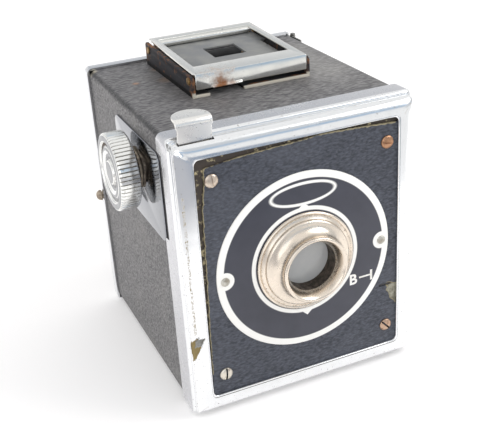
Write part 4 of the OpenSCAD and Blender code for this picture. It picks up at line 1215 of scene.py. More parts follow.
# %% Bezel
bezel = loop_of("front_bezel_pressing", bezel_ring(), "NOTHING")
edit(bezel, "VERT")
bpy.ops.mesh.select_all(action="SELECT")
for here, there in zip(section, section[1:]):
    left, right, low, high, depth = here
    new_left, new_right, new_low, new_high, new_depth = there
    shift_x = (new_left + new_right - left - right) / 2
    shift_z = (new_low + new_high - low - high) / 2
    bpy.ops.mesh.extrude_region_move(
        TRANSFORM_OT_translate={"value": Vector((shift_x, new_depth - depth, shift_z)) * MM}
    )
    ratio = ((new_right - new_left) / (right - left), 1.0, (new_high - new_low) / (high - low))
    middle = at((new_left + new_right) / 2, new_depth, (new_low + new_high) / 2)
    bpy.ops.transform.resize(value=ratio, center_override=middle)
bpy.ops.object.mode_set(mode="OBJECT")
settle(bezel)
cut(bezel, block("slot_tool", (-35.1, 0.95, 39.0), (-24.8, 2.7, 46.0)))
print("bezel box:", [round(v / MM, 2) for v in bezel.dimensions], "mm")

# %% [markdown]
# Dirt and painted shade sit in the two grooves and in the four mitres, and dirt in a streak
# down the left moulding. An attribute holds them, and the finish reads it. The places are
# found while the section is still the same on every side: how far in a point lies, and how
# deep, tells which point of the section it is.


# %% Dirt and painted shade in the grooves
def lens_mm(point):
    """A packed point in lens millimetres, the way back from at()."""
    return Vector(point) / MM + Vector((0, PANEL_DEPTH, -LENS_HEIGHT))


flaking_and_shade = bezel.data.attributes.new("flaking_and_shade", "FLOAT", "POINT")
for index, vertex in enumerate(bezel.data.vertices):
    x, y, z = lens_mm(vertex.co)
    in_x, in_z = HALF_WIDTH - abs(x), HALF_HEIGHT - abs(z)
    near = min(in_x, in_z)
    dirt_and_shade = 0.0
    # The grooves and the mitres get dirt and painted shade; the streak down the left is dirt.
    if abs(near - 0.86) < 0.03 and abs(y - 3.44) < 0.05:
        dirt_and_shade = 0.36
    elif abs(near - 1.04) < 0.03 and abs(y - 2.46) < 0.05:
        dirt_and_shade = 0.5
    elif x < 0 and 1.9 < in_x < 2.7 and -15 < z < 30 and y < 2:
        dirt_and_shade = 0.36
    elif abs(in_x - in_z) < 0.12 and 0.5 < near < 5.2 and y < 4.6:
        dirt_and_shade = 0.34
    flaking_and_shade.data[index].value = dirt_and_shade
print("dirty points:", sum(item.value > 0 for item in flaking_and_shade.data))

# %% [markdown]
# The flat band is dulled by hands and drawn greyer as painted shade, for the floor in the
# case's shadow that it mirrors, and so is the moulding's underside. Two thin lines below
# the opening are steel grey, painted shade of the same kind.

# %% Dulled faces and painted shade
band_faces, shaded_line_faces = [], []
for face in bezel.data.polygons:
    x, y, z = lens_mm(face.center)
    in_x, in_z = HALF_WIDTH - abs(x), HALF_HEIGHT - abs(z)
    if min(in_x, in_z) < 0.6 and y > 4.6:
        band_faces.append(face.index)
    elif z < 0 and in_z < in_x and y < 2.4:
        above_lip = OPENING[2] - z
        # Two thin lines here are painted shade, drawn in the grey of steel.
        if 0.45 < above_lip < 0.66 or 1.0 < in_z < 1.25:
            shaded_line_faces.append(face.index)
        elif in_z < 2.4:
            band_faces.append(face.index)
print("band:", len(band_faces), "faces, rubbed lines:", len(shaded_line_faces))

# %% [markdown]
# The left moulding is almost flat on this camera, so its points are pulled forward by up
# to 2.6 mm. The band is let in beside the knob's plate. The dent is a wedge, deepest at
# its top. It is khaki with rust on its left and below, and steel grey at its upper right as
# painted shade in its hollow.

# %% Left moulding, notch and dent
LEFT_PULL = 2.6
MOULDING_START, MOULDING_WIDTH = 1.1, 3.9
FLATTENED = 0.16
NOTCH_DEPTH, NOTCH_ROUND = 7.2, 0.6
DENT_DEPTH, DENT_SIDE = 1.4, -37.1
DENT_SHADE_ABOVE = -18.8


def wedge(x, y, z):
    """How far the dent pushes a point in, in mm, and how far it lies across the dent."""
    t = (z - DENT_LOW) / (DENT_TOP - DENT_LOW)
    if not 0.01 < t < 1.01 or x > -32 or y > 3.2:
        return 0.0, 0.0
    across = (x - DENT_SIDE + 0.2 * t) / (0.5 + 3.9 * t)
    if not 0.0 < across < 1.0:
        return 0.0, across
    return DENT_DEPTH * t**0.7 * math.sin(math.pi * across) ** 0.8, across


for index, vertex in enumerate(bezel.data.vertices):
    x, y, z = lens_mm(vertex.co)
    in_x, in_z = HALF_WIDTH + x, HALF_HEIGHT - abs(z)
    if y < 6 and in_x < 5 and in_x < in_z:
        fade = min(1.0, 1.0 - (in_x - MOULDING_START) / MOULDING_WIDTH)
        fade *= min(1.0, (in_z - in_x) / 2)
        flattest = FLATTENED * (y - LIP_FACE) + LIP_FACE
        y = max(y - LEFT_PULL * max(0.0, fade), flattest)
    # The band's last row goes to 7.2 mm and the row before it to 6.8.
    end = min(z - NOTCH[0], NOTCH[1] - z)
    if in_x < 0.9 and y > 7.5 and end > -0.01:
        rise = 1 - min(NOTCH_ROUND, max(0.0, end)) / NOTCH_ROUND
        bow = 1 - math.sqrt(1 - rise**2)
        y = NOTCH_DEPTH + 3.1 * bow if y > 9 else min(y, 6.8 + 1.2 * bow)
    push, across = wedge(x, y, z)
    vertex.co = at(x + 0.6 * push, y + 0.8 * push, z)
    if push > 0.05:
        khaki = across < 0.4 or z < DENT_SHADE_ABOVE
        flaking_and_shade.data[index].value = 0.9 if khaki else 0.28
soften(bezel, 0)
dress(bezel, "case", bezel_plating, "plated_steel", "front_bezel")
bezel.data.materials.append(band_plating)
bezel.data.materials.append(steel)
# Index 1 is the band's plating, greyer as painted shade; index 2 is steel grey, painted shade on the
# two lines and in the dent.
for index in band_faces:
    bezel.data.polygons[index].material_index = 1
for index in shaded_line_faces:
    bezel.data.polygons[index].material_index = 2
# The dent's upper right faces take the grey of steel as painted shade in its hollow.
for face in bezel.data.polygons:
    push, across = wedge(*lens_mm(face.center))
    if push > 0.08 and across > 0.4 and lens_mm(face.center).z > DENT_SHADE_ABOVE - 0.1:
        face.material_index = 2
print("bare steel:", sum(face.material_index == 2 for face in bezel.data.polygons), "faces")

# %% [markdown]
# ## The panel and its torn cloth
# The cloth on the front has shrunk and frayed: it no longer reaches the bezel at the
# top, its left edge is ragged, and it is torn beside the shutter tab. A cloth simulation
# would give folds, but this cloth is glued flat, and what shows is its outline. So the
# two worn edges are lines through measured points, with a fray of two noises on top.

# %% Worn edges of the cloth
CLOTH_TOP = [(-31.7, 35.2), (-28.4, 35.6), (-21.6, 36.4), (-12.8, 36.9), (-0.6, 37.3),
             (5.6, 37.9), (15.2, 37.5), (25.0, 36.9), (31.7, 36.5)]
CLOTH_LEFT = [(-38.0, -31.6), (-33.6, -31.5), (-15.7, -31.2), (-5.4, -30.9), (14.1, -30.4),
              (23.4, -30.2), (29.2, -29.4), (33.0, -29.1), (39.0, -28.9)]


def along_line(points, here):
    """The height, at this distance, of the line through the points."""
    for (start, low), (end, high) in zip(points, points[1:]):
        t = min(1.0, max(0.0, (here - start) / (end - start)))
        if here <= end:
            break
    return low + (high - low) * t


def fray(here, pitch, row, amount):
    """Noise along an edge: its waves for each millimetre, its own row, and its height."""
    return noise.noise(Vector((here * pitch, row, 0.0))) * amount


def cloth_top(x):
    """Height of the worn top edge of the cloth at x."""
    return along_line(CLOTH_TOP, x) + (fray(x, 0.9, 3.0, 0.22) + fray(x, 3.1, 7.0, 0.16))


def cloth_left(z):
    """The worn left edge of the cloth at height z."""
    return along_line(CLOTH_LEFT, z) + fray(z, 0.5, 13.0, 0.25) + fray(z, 2.3, 17.0, 0.22)


print("cloth's top edge at the middle:", round(cloth_top(0), 2), "mm above the lens")

# %% [markdown]
# The sheet is a fine grid, whose rows and columns are pulled in to the worn outline. Then
# it gets its thickness, and the tear and the hole for the lens are cut out.

# %% Front cloth
CLOTH_SIDE = 31.7
CLOTH_LOW, CLOTH_HIGH = -37.4, 38.2
CLOTH_THICKNESS = 0.48
LENS_HOLE = 8.9
TEAR = [(25.0, -15.75), (28.6, -15.75), (30.0, -16.6), (31.9, -16.9), (32.5, -17.4),
        (32.5, -24.4), (31.3, -24.1), (30.2, -22.3), (29.2, -21.6), (28.6, -19.4),
        (27.7, -18.2), (28.3, -16.9), (27.0, -16.6), (25.0, -16.55)]
bpy.ops.object.select_all(action="DESELECT")
bpy.ops.mesh.primitive_grid_add(
    x_subdivisions=126, y_subdivisions=150, size=1.0, location=(0, 0, 0),
    rotation=(math.radians(90), 0, 0),
)
cloth = bpy.context.object
cloth.name = "front_leathercloth_sheet"
settle(cloth, outward=False)
for vertex in cloth.data.vertices:
    u, v = vertex.co.x + 0.5, vertex.co.z + 0.5
    x = -CLOTH_SIDE + 2 * CLOTH_SIDE * u
    top = min(cloth_top(x), CLOTH_HIGH)
    z = CLOTH_LOW + v * (top - CLOTH_LOW)
    left = cloth_left(z)
    x = CLOTH_SIDE - (CLOTH_SIDE - x) * (CLOTH_SIDE - left) / (2 * CLOTH_SIDE)
    vertex.co = at(x, 0.0, z)
apply_modifier(cloth, "SOLIDIFY", thickness=CLOTH_THICKNESS * MM, offset=-1.0)
if min(vertex.co.y for vertex in cloth.data.vertices) < at(0, -0.1, 0).y:
    for vertex in cloth.data.vertices:
        vertex.co.y += CLOTH_THICKNESS * MM
tear_tool = outline("tear_tool", [(x, -1.0, z) for x, z in TEAR], (0, 2.2, 0))
hole_tool = turned(
    "hole_tool", (0, 0, 0), "forward",
    [(0.0, -3), (LENS_HOLE, -3), (LENS_HOLE, 3), (0.0, 3)],
)
cut(cloth, tear_tool, hole_tool)
print("cloth grid:", len(cloth.data.vertices), "points")

# %% [markdown]
# An attribute holds how near each point is to a worn or torn edge, and the finish reads
# it to bare the khaki weave. It falls from 1 at the top edge to nothing 0.75 mm away. The
# fray of the tear and of the left edge is narrower, so distances there count for more.

# %% Wear along the torn edges
WEAR_REACH = 0.75
UNWORN = 3.0
TEAR_COUNTS, LEFT_COUNTS = 1.6, 2.2


def distance_to_tear(x, z):
    """Distance in mm from the nearest side of the tear's outline, 9 at most."""
    best = 9.0
    for (x0, z0), (x1, z1) in zip(TEAR, TEAR[1:] + TEAR[:1]):
        dx, dz = x1 - x0, z1 - z0
        t = max(0.0, min(1.0, ((x - x0) * dx + (z - z0) * dz) / (dx * dx + dz * dz)))
        best = min(best, math.hypot(x - x0 - t * dx, z - z0 - t * dz))
    return best


wear = cloth.data.attributes.new("wear", "FLOAT", "POINT")
for index, vertex in enumerate(cloth.data.vertices):
    x, _, z = lens_mm(vertex.co)
    torn = TEAR_COUNTS * distance_to_tear(x, z) if x > 27.4 else UNWORN
    near = min(cloth_top(x) - z, LEFT_COUNTS * (x - cloth_left(z)), torn, UNWORN)
    if z < -30 or x > 30.5:
        near = min(UNWORN, torn)
    wear.data[index].value = max(0.0, 1.0 - near / WEAR_REACH)
soften(cloth, 0)
dress(cloth, "case", front_cloth_finish, "leathercloth", "front_covering")

# %% [markdown]
# In the tear the coating is gone, and its thin backing lies bare on the panel. The panel
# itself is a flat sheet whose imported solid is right, and only its finish is new.

# %% Torn backing and panel
BACKING = [(28.2, -16.9), (30.0, -16.7), (31.6, -17.0), (31.6, -24.0), (31.2, -23.9),
           (30.1, -22.2), (29.1, -21.5), (28.5, -19.3), (27.6, -18.1)]
backing = outline("torn_cloth_backing", [(x, 0.5, z) for x, z in BACKING], (0, -0.12, 0))
soften(backing, 0)
dress(backing, "case", torn_backing, "leathercloth")

panel = copy_of("front_panel_sheet", "front_panel")
soften(panel, 0)
dress(panel, "case", glued_steel, "black_metal", "front_panel")

# %% [markdown]
# ## Round plate, its pins and the control marks
# The plate is a thin disc with a rolled edge, turned from its profile like everything
# round on this camera. Two domed pins hold it, and each is a dome on a shank.

# %% Plate and pins
plate = turned(
    "round_name_plate", (0, 0, 0), "forward",
    [(8.4, 0.02), (8.4, 0.35), (27.6, 0.35), (27.88, 0.28), (28.0, 0.12), (28.0, 0.02)],
    steps=128, closed=True,
)
soften(plate, 0)
dress(plate, "case", plate_finish, "printed_metal", "name_plate")

DOME = [(0.0, -0.9), (0.55, -0.9), (0.55, 0.36), (1.35, 0.36), (1.32, 0.55), (1.1, 0.74),
        (0.7, 0.87), (0.3, 0.92), (0.0, 0.93)]
pins = [
    turned("name_plate_pin", (side * PIN_PLACE, 0, 0), "forward", DOME, steps=32)
    for side in (-1, 1)
]
pins = joined("name_plate_pins_domed", pins)
soften(pins, 0)
dress(pins, "case", aluminium_pin, "brass", "name_plate_pins")

# %% [markdown]
# Beside the slot for the shutter tab stand the usual letters for a held and an
# instantaneous exposure, joined by a dash. They could be part of the printed finish, but
# letters are easier as text, which is turned to a mesh and laid on the enamel.

# %% Control marks
PRINT_DEPTH = -0.37
PRINT_HALF_HEIGHT = 0.02
STROKE_WIDENING = 0.14


def mark(name, letter, x, z, size):
    """One upright letter of this size in mm, standing on the plate at (x, z)."""
    bpy.ops.object.select_all(action="DESELECT")
    bpy.ops.object.text_add(location=(0, 0, 0))
    obj = bpy.context.object
    obj.data.body = letter
    obj.data.size = size * MM
    obj.data.extrude = PRINT_HALF_HEIGHT * MM
    obj.data.offset = STROKE_WIDENING * MM
    obj.data.align_x = "CENTER"
    obj.data.align_y = "CENTER"
    only(obj)
    bpy.ops.object.convert(target="MESH")
    obj = bpy.context.object
    obj.name = name
    obj.rotation_euler = (math.radians(90), 0, 0)
    obj.location = at(x, PRINT_DEPTH, z)
    return settle(obj)


marks = [
    mark("held_exposure_mark", "B", 15.7, -11.2, 4.8),
    mark("instant_exposure_mark", "I", 22.0, -11.2, 4.7),
    block(
        "dash_mark",
        (17.8, PRINT_DEPTH - PRINT_HALF_HEIGHT, -11.2),
        (21.6, PRINT_DEPTH + PRINT_HALF_HEIGHT, -10.65),
    ),
]
marks = joined("exposure_marks", marks)
dress(marks, "case", white_print, "printed_metal")

# %% [markdown]
# ## Panel screws
# Four cheesehead screws of brass hold the panel. Those at the left have stayed silvery
# and those at the right have gone coppery, so one finish drifts across the front and each
# screw takes its own place in it. Rust spots of about 1.4 mm come on top.

# %% Finish of the screws
RUST_SPOT_SIZE = 1.429
HEIGHT_COUNTS = 0.35
SILVER_END, COPPER_END = -22.0, 50.0


def screw_brass():
    """Brass that is silvery low on the left, coppery at the right, and rusty in patches."""
    finish, tree, shader, place = new_finish("tarnished_screw_brass")
    parts = node(tree, "SeparateXYZ", {"Vector": place}).outputs
    toward = node(
        tree, "Math", {0: parts["Z"], 1: HEIGHT_COUNTS, 2: parts["X"]}, operation="MULTIPLY_ADD"
    ).outputs[0]
    copper = node(
        tree,
        "MapRange",
        {"Value": toward, "From Min": SILVER_END * MM, "From Max": COPPER_END * MM},
    ).outputs["Result"]
    spots = node(tree, "TexNoise", {"Vector": place, "Scale": cells(RUST_SPOT_SIZE), "Detail": 3.0})
    metal = node(
        tree, "Mix", {"Factor": copper, "A": linear("#D6CFC2"), "B": linear("#B0876A")},
        data_type="RGBA",
    )
    stained = node(
        tree,
        "MapRange",
        {"Value": spots.outputs["Fac"], "From Min": 0.56, "From Max": 0.74, "To Max": 0.6},
    )
    colour = node(
        tree,
        "Mix",
        {"Factor": stained.outputs["Result"], "A": metal.outputs["Result"], "B": linear("#6B4A38")},
        data_type="RGBA",
    )
    tree.links.new(colour.outputs["Result"], shader.inputs["Base Color"])
    shader.inputs["Metallic"].default_value = 1.0
    rough = node(
        tree, "MapRange", {"Value": spots.outputs["Fac"], "To Min": 0.2, "To Max": 0.5}
    )
    tree.links.new(rough.outputs["Result"], shader.inputs["Roughness"])
    return finish


screw_finish = screw_brass()
print("screws:", screw_finish.name)

# %% [markdown]
# A head is turned with a low dome, and a block cuts its slot. Each screw was tightened
# until it held, so every slot points another way.

# %% Screws
SCREW_HEAD = [(0.0, -1.0), (1.1, -1.0), (1.1, 0.0), (2.0, 0.0), (2.02, 0.22), (1.9, 0.42),
              (1.5, 0.64), (0.9, 0.82), (0.4, 0.89), (0.0, 0.9)]
SCREW_TURNS = {(-27.1, 31.5): 84, (27.5, 31.0): 12, (-27.3, -30.8): 95, (27.3, -30.8): 47}
SLOT_HALF_WIDTH, SLOT_FLOOR = 0.27, -0.42
screws = []
for (x, z), angle in SCREW_TURNS.items():
    screw = turned("panel_screw", (x, 0, z), "forward", SCREW_HEAD, steps=48)
    tool = block(
        "slot_tool", (x - 3, -1.6, z - SLOT_HALF_WIDTH), (x + 3, SLOT_FLOOR, z + SLOT_HALF_WIDTH)
    )
    only(tool)
    bpy.ops.object.origin_set(type="ORIGIN_GEOMETRY")
    tool.rotation_euler = (0, math.radians(angle), 0)
    screws.append(cut(screw, tool))
screws = joined("panel_screws_slotted", screws)
soften(screws, 0.04, 2, 40)
dress(screws, "case", screw_finish, "brass", "panel_screws")

# %% [markdown]
# ## Lens hood and lens
# The hood is spun brass, nickel plated: a base with a fine bead, a step, a waist, and a
# rolled rim with a broad dished bevel that leads to the bore. It is a body of
# revolution, so its profile is drawn once and turned. Rings in the bead's groove, in the
# waist and at the bore are darker. The bore's wall is a dark lining of its own just inside
# the hood's bore, painted shade.

# %% Hood
HOOD_BORE = 7.7
DIRT_RINGS = ((14.5, 0.3, 0.3), (9.9, 0.25, 0.15), (HOOD_BORE, 0.2, 0.4))
HOOD = [
    (HOOD_BORE, 0.35), (15.3, 0.35), (15.5, 0.5), (15.55, 0.85), (15.4, 1.15), (15.1, 1.3),
    (14.75, 1.2), (14.55, 1.05), (14.3, 1.12), (13.9, 1.35), (13.55, 1.6), (13.45, 2.0),
    (13.3, 2.35), (12.9, 2.6), (12.5, 2.72), (12.0, 2.82), (11.4, 3.15), (10.85, 3.6),
    (10.4, 4.15), (10.05, 4.8), (9.85, 5.35), (9.85, 5.6), (10.1, 5.95), (10.2, 6.4),
    (10.2, 7.0), (10.1, 7.4), (9.85, 7.62), (9.5, 7.65), (9.2, 7.5), (8.75, 6.85), (8.25, 5.85),
    (7.9, 5.05), (7.73, 4.5), (HOOD_BORE, 4.2),
]
hood = turned("lens_hood_spinning", (0, 0, 0), "forward", HOOD, steps=160, closed=True)
grime_and_shade = hood.data.attributes.new("grime_and_shade", "FLOAT", "POINT")
for index, vertex in enumerate(hood.data.vertices):
    radius = math.hypot(vertex.co.x, vertex.co.z - LENS_HEIGHT * MM) / MM
    for middle, width, amount in DIRT_RINGS:
        if abs(radius - middle) < width:
            grime_and_shade.data[index].value = amount
soften(hood, 0)
dress(hood, "case", hood_nickel, "nickelled_brass", "lens_hood")

# A dark lining just inside the hood's own bore: painted shade.
bore = turned(
    "hood_bore_wall", (0, 0, 0), "forward",
    [(HOOD_BORE, 4.3), (7.63, 4.3), (7.63, -0.1), (HOOD_BORE, -0.1)], closed=True,
)
soften(bore, 0)
dress(bore, "case", bore_wall, "nickelled_brass")

# %% [markdown]
# The lens is a meniscus: its hollow face, with a radius of 60 mm, looks forward, and its
# round one, with a radius of 30 mm, looks back. Both are arcs of a profile through the
# same edge, so the glass is turned too.

# %% Lens
LENS_EDGE = 7.6
FRONT_EDGE, FRONT_CURVE = -0.2, 60.0
REAR_EDGE, REAR_CURVE = -1.1, 30.0
LENS_RINGS = (0.0, 1.0, 2.0, 3.0, 4.0, 5.0, 6.0, 7.0, LENS_EDGE)


def sag(radius, curve):
    """Depth of an arc of this curve at this radius."""
    return curve - math.sqrt(curve * curve - radius * radius)


lens_profile = [
    (r, FRONT_EDGE - sag(LENS_EDGE, FRONT_CURVE) + sag(r, FRONT_CURVE)) for r in LENS_RINGS
]
lens_profile += [
    (r, REAR_EDGE - sag(LENS_EDGE, REAR_CURVE) + sag(r, REAR_CURVE)) for r in reversed(LENS_RINGS)
]
lens = turned("meniscus_lens", (0, 0, 0), "forward", lens_profile)
soften(lens, 0)
dress(lens, "case", lens_glass, "clear_glass", "lens")

# %% [markdown]
# ## Release
# The thumb piece of the release is a strip of bright steel. It comes up through the
# moulding, widens, leans forward by 5 degrees, and is bent back over a small radius. The
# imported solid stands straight, so a merged copy is leaned and rounded along its edges.

# %% Release
LEAN_START, LEAN = 42.0, 0.09
release = copy_of("release_thumb_piece", "release_lever")
for vertex in release.data.vertices:
    above = vertex.co.z / MM - LENS_HEIGHT - LEAN_START
    if above > 0:
        vertex.co.y -= LEAN * above * MM
soften(release, 0.14, 3, 30)
dress(release, "release", tab_plating, "plated_steel", "release_lever")

# %% [markdown]
# ## Winding knob
# The knob is turned and straight-knurled: sixty ribs with rounded tops, a plain bright
# shoulder at each end, a flat ring on the face, a groove, and a dished middle with a
# low boss. It is turned with 360 steps, so a rib has six, and every sixth row of points
# is squeezed in to make a groove. Dirt and painted shade darken the grooves, and painted
# shade the face's two rings.

# %% Knob
KNOB_CENTRE = (0, 33, 26)
KNURL_START, KNURL_RISE, KNURL_DEPTH = 11.3, 0.3, 0.42
KNOB = [
    (4.8, 40.0), (10.7, 40.0), (11.1, 40.06), (11.4, 40.22), (11.58, 40.45), (11.7, 40.75),
    (11.7, 43.0), (11.7, 45.5), (11.58, 45.8), (11.38, 46.06), (11.05, 46.24), (10.6, 46.3),
    (9.4, 46.3), (9.2, 46.2), (9.1, 45.9), (8.9, 45.72), (8.2, 45.65), (7.7, 45.75), (7.5, 46.0),
    (7.2, 46.1), (6.6, 46.1), (6.3, 45.9), (5.6, 45.55), (4.6, 45.4), (3.9, 45.4), (3.7, 45.6),
    (3.6, 46.0), (3.3, 46.15), (2.0, 46.2), (0.0, 46.2), (0.0, 44.3), (4.8, 44.3),
]
knob = turned("winding_knob_knurled", KNOB_CENTRE, "left", KNOB, steps=360, closed=True)
grime_and_shade = knob.data.attributes.new("grime_and_shade", "FLOAT", "POINT")
axis = at(*KNOB_CENTRE)
for index, vertex in enumerate(knob.data.vertices):
    arm = Vector((0, vertex.co.y - axis.y, vertex.co.z - axis.z))
    radius = arm.length / MM
    sixth = round(math.degrees(math.atan2(arm.z, arm.y))) % 6
    # Dirt and painted shade in the knurl's grooves; painted shade in the face's rings, more on the
    # upper half of the outer one.
    if radius > KNURL_START:
        reach = min(1.0, (radius - KNURL_START) / KNURL_RISE)
        push = (KNURL_DEPTH if sixth == 0 else 0.0) * reach
        vertex.co -= arm.normalized() * push * MM
        grime_and_shade.data[index].value = 0.8 if sixth == 0 else 0.0
    elif 8.0 < radius < 9.0 and vertex.co.x < -45.5 * MM:
        grime_and_shade.data[index].value = 0.34 + 0.3 * max(0.0, arm.z) / arm.length
    elif 3.6 < radius < 4.8 and vertex.co.x < -45.2 * MM:
        grime_and_shade.data[index].value = 0.34
soften(knob, 0)
dress(knob, "winder", knob_plating, "plated_steel", "winding_knob")
knob.data.materials.append(knob_face_plating)
# Faces that look to the left take the grey face finish as painted shade.
for face in knob.data.polygons:
    if face.normal.x < -0.9:
        face.material_index = 1
print("rubbed faces of the knob:", sum(face.material_index for face in knob.data.polygons))

# %% [markdown]
# ## Behind the knob
# The shaft turns in a bush, against a thrust washer, and a bright plate with round
# corners covers the hole in the cloth. The plate is one extruded outline with a hole for
# the bush. The eye sees what it mirrors more than the plate itself, so it has almost no
# ripple.

# %% Washer, shaft, bush and plate
washer = copy_of("thrust_washer_disc", "thrust_washer", join=False)
dress(soften(washer, 0.08, 2), "winder_slide", brass, "brass", "thrust_washer")
shaft = copy_of("winding_shaft_bar", "winding_shaft")
dress(soften(shaft, 0.08, 2, 40), "winder", steel, "steel", "winding_shaft")
bush = copy_of("winder_bush_turned", "winder_bush", join=False)
dress(soften(bush, 0.12, 2, 40), "case", dirty_nickel, "steel", "winder_bush")

PLATE_LOW, PLATE_HIGH, PLATE_CORNER = (11.0, 10.2), (51.6, 37.4), 3.0
PLATE_FOOT, PLATE_THICKNESS, BUSH_HOLE = -37.3, 0.5, 4.3


def rounded_points(low, high, radius, corners=6):
    """Points of a rounded rectangle, from (u, v) corners, counted round it."""
    (u0, v0), (u1, v1) = low, high
    centres = [(u1 - radius, v1 - radius, 0), (u0 + radius, v1 - radius, 90),
               (u0 + radius, v0 + radius, 180), (u1 - radius, v0 + radius, 270)]
    points = []
    for cu, cv, start in centres:
        for step in range(corners + 1):
            a = math.radians(start + 90 * step / corners)
            points.append((cu + radius * math.cos(a), cv + radius * math.sin(a)))
    return points


plate_points = rounded_points(PLATE_LOW, PLATE_HIGH, PLATE_CORNER)
knob_plate = outline(
    "knob_plate_mirror",
    [(PLATE_FOOT, y, z) for y, z in plate_points],
    (-PLATE_THICKNESS, 0, 0),
)
bush_tool = turned(
    "bush_tool", KNOB_CENTRE, "left", [(0, 36), (BUSH_HOLE, 36), (BUSH_HOLE, 39), (0, 39)]
)
cut(knob_plate, bush_tool)
soften(knob_plate, 0.16, 3, 40)
dress(knob_plate, "case", knob_plate_finish, "plated_steel", "knob_plate")

# %% [markdown]
# ## Case covering
# The leathercloth is one strip glued round the sleeve, and another piece covers the
# door. Glued cloth lies flat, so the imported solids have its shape. Copies with their
# curved corners shaded smooth take the cloth finish, and the door's edge is softened.

# %% Case cloth
case_cloth = copy_of("case_leathercloth_wrap", "body_covering")
dress(soften(case_cloth, 0), "case", case_cloth_finish, "leathercloth", "body_covering")
back_cloth = copy_of("back_leathercloth_panel", "back_covering")
dress(soften(back_cloth, 0.1, 2), "back", case_cloth_finish, "leathercloth", "back_covering")

# %% [markdown]
# ## Finder
# The finder is folded from sheet: a painted base with two walls, a plated frame that
# hinges at the front, and a painted sight with a square hole that hinges at the rear.
# Their imported solids carry the folds, the ears and the slope of 1.8 degrees. The copies
# get the rounded edges of bent sheet.
#
# The base is painted steel, and paint on thin steel rusts from its edges. So the finish
# measures how near a point is to the ends and to the top, and a noise of 3 mm breaks the
# rust up. The front edge is worn to pale metal, and the floor behind it is drawn near black
# as painted shade under the leaves. Old paint has lost its gloss, which is why it mirrors
# so little. A finish reads places in the imported frame, so these limits are millimetres
# from its origin: where a thing starts, and where it is full.

# %% Paint of the finder's base
RUST_FLECK = 3.03
RUST_LIMITS = [("Y", 28.2, 23.8), ("Y", 60.5, 66.4), ("Z", 92.8, 95.0)]
EDGE_STARTS, EDGE_FULL = 24.6, 24.2
INSIDE_STARTS, INSIDE_FULL = 25.0, 26.0
FLOOR_STARTS, FLOOR_FULL = 89.0, 88.4


def rusting_black_paint():
    """Black paint with rusty ends and top, worn to metal in front, with painted shade on its floor.
    """
    finish, tree, shader, place = new_finish("rusting_black_paint")
    parts = node(tree, "SeparateXYZ", {"Vector": place}).outputs
    closeness = 0.0
    for axis_name, starts, full in RUST_LIMITS:
        end = node(
            tree,
            "MapRange",
            {"Value": parts[axis_name], "From Min": starts * MM, "From Max": full * MM},
        )
        closeness = node(
            tree, "Math", {0: closeness, 1: end.outputs["Result"]}, operation="MAXIMUM"
        ).outputs[0]
    spots = node(
        tree,
        "TexNoise",
        {"Vector": place, "Scale": cells(RUST_FLECK), "Detail": 5.0, "Roughness": 0.65},
    ).outputs["Fac"]
    level = node(
        tree, "Math", {0: closeness, 1: 0.12, 2: spots}, operation="MULTIPLY_ADD"
    ).outputs[0]
    rust = node(tree, "MapRange", {"Value": level, "From Min": 0.56, "From Max": 0.70})
    painted = node(
        tree,
        "Mix",
        {"Factor": rust.outputs["Result"], "A": linear("#2E2D30"), "B": linear("#80583C")},
        data_type="RGBA",
    )
    front = node(
        tree,
        "MapRange",
        {"Value": parts["Y"], "From Min": EDGE_STARTS * MM, "From Max": EDGE_FULL * MM},
    )
    low = node(
        tree,
        "MapRange",
        {"Value": parts["Z"], "From Min": FLOOR_STARTS * MM, "From Max": FLOOR_FULL * MM},
    )
    edge = node(
        tree,
        "Math",
        {0: front.outputs["Result"], 1: low.outputs["Result"]},
        operation="MULTIPLY",
    ).outputs[0]
    worn = node(
        tree,
        "Mix",
        {"Factor": edge, "A": painted.outputs["Result"], "B": linear("#C6BFB1")},
        data_type="RGBA",
    )
    # Painted shade: the floor inside the base, behind its front edge, is drawn near black.
    inside = node(
        tree,
        "MapRange",
        {"Value": parts["Y"], "From Min": INSIDE_STARTS * MM, "From Max": INSIDE_FULL * MM},
    )
    painted_floor_shade = node(
        tree,
        "Math",
        {0: inside.outputs["Result"], 1: low.outputs["Result"]},
        operation="MULTIPLY",
    ).outputs[0]
    shaded = node(
        tree,
        "Mix",
        {"Factor": painted_floor_shade, "A": worn.outputs["Result"], "B": linear("#131314")},
        data_type="RGBA",
    )
    tree.links.new(shaded.outputs["Result"], shader.inputs["Base Color"])
    shader.inputs["Specular IOR Level"].default_value = 0.2
    gloss = node(tree, "MapRange", {"Value": spots, "To Min": 0.5, "To Max": 0.8})
    tree.links.new(gloss.outputs["Result"], shader.inputs["Roughness"])
    bump = node(tree, "Bump", {"Height": spots, "Strength": 0.5, "Distance": 0.03 * MM})
    tree.links.new(bump.outputs["Normal"], shader.inputs["Normal"])
    return finish


finder_paint = rusting_black_paint()
print("finder's paint:", len(finder_paint.node_tree.nodes), "nodes")

# %% [markdown]
# The frame's free end is rolled into a round edge. The roll is turned as a rod of its
# own, and it rides with the frame. The frame and the sight have holes, so their copies
# keep their triangles. The pins are brass with rust on their heads.

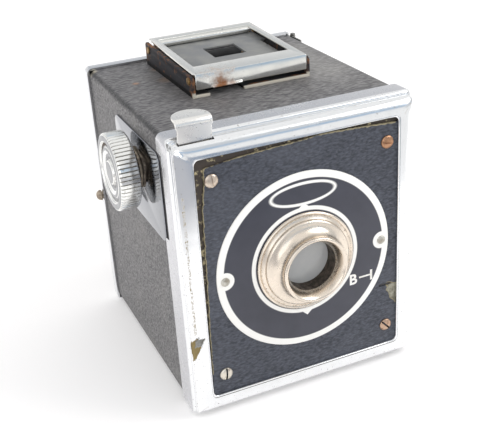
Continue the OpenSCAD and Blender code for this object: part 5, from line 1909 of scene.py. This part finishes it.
# %% Finder leaves, base and pins
ROLL_CENTRE, ROLL_RADIUS = (0, 70.75, 50.43), 1.08
finder_frame = copy_of("finder_frame_leaf", "finder_frame", join=False)
soften(finder_frame, 0.34, 4, 40)
dress(finder_frame, "finder_frame", finder_plating, "plated_steel", "finder_frame")
roll = turned(
    "finder_frame_rolled_edge", ROLL_CENTRE, "left",
    [(0.0, -16.7), (0.8, -16.7), (ROLL_RADIUS, -16.4), (ROLL_RADIUS, 14.5), (0.8, 14.8),
     (0.0, 14.8)],
    steps=48,
)
dress(soften(roll, 0), "finder_frame", finder_plating, "plated_steel")
sight = copy_of("rear_sight_leaf", "finder_sight", join=False)
dress(soften(sight, 0.1, 2, 40), "finder_sight", sight_paint, "rusty_paint", "finder_sight")
finder_base = copy_of("finder_base_tray", "finder_base")
dress(soften(finder_base, 0.12, 2, 40), "case", finder_paint, "rusty_paint", "finder_base")
for name in ("finder_front_pin", "finder_rear_pin", "finder_rivets"):
    pin = copy_of(name + "_worn", name)
    dress(soften(pin, 0.06, 2, 40), "case", pin_brass, "rusty_paint", name)

# %% [markdown]
# ## Back
# The door carries a plated trim folded round its edge, a leathercloth panel, the red
# window in its ring, and the pull on its left side. The trim's outer edge is a soft
# fold, so it gets a wide rounding. It grips the sleeve a little further forward than the
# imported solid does. The pull is a small stud, turned from its profile.

# %% Back
TRIM_FRONT, TRIM_REACH = 79.4, 0.2
trim = copy_of("back_trim_fold", "back_trim", join=False)
for vertex in trim.data.vertices:
    if vertex.co.y < at(0, TRIM_FRONT, 0).y:
        vertex.co.y -= TRIM_REACH * MM
dress(soften(trim, 0.45, 4, 50), "back", bright, "plated_steel", "back_trim")
door_pull = turned(
    "door_pull_stud", (0, 81.0, -2), "left",
    [(0.0, 37.9), (1.25, 37.9), (1.25, 38.5), (1.8, 38.5), (1.9, 38.7), (1.82, 39.1), (1.6, 39.6),
     (1.2, 40.0), (0.7, 40.25), (0.0, 40.35)], steps=48,
)
dress(soften(door_pull, 0), "back", dirty_nickel, "plated_steel", "door_pull")
ring = copy_of("red_window_ring", "window_ring", join=False)
dress(soften(ring, 0.15, 3, 40), "back", bright, "plated_steel", "window_ring")

# %% [markdown]
# ## Everything inside and behind
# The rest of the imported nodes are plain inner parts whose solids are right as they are.
# Each gets the finish that its metal, paint or glass has.

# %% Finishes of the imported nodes
FINISHES = {
    black_enamel: ["body_shell", "back_door", "light_cone", "film_gate", "pressure_plate",
                   "carrier_left_plate", "carrier_right_plate", "lens_ring", "aperture_plate",
                   "shutter_plate"],
    shutter_black: ["shutter_disc", "time_selector"],
    spool_paint: ["spool_core", "spool_flange_left", "spool_flange_right"],
    steel: ["panel_posts", "shutter_pivot", "spool_pins", "upper_roller", "lower_roller",
            "hinge_leaf_case", "hinge_leaf_door", "hinge_pin"],
    spring_steel: ["shutter_spring", "release_spring", "spool_springs", "pressure_springs",
                   "door_catch", "finder_spring"],
    red_celluloid: ["red_window"],
}
for finish, names in FINISHES.items():
    for name in names:
        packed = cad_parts[name]
        packed.data.materials.clear()
        packed.data.materials.append(finish)
kept = sum(len(names) for names in FINISHES.values())
print(len(pieces_made), "new pieces,", kept, "packed nodes kept")
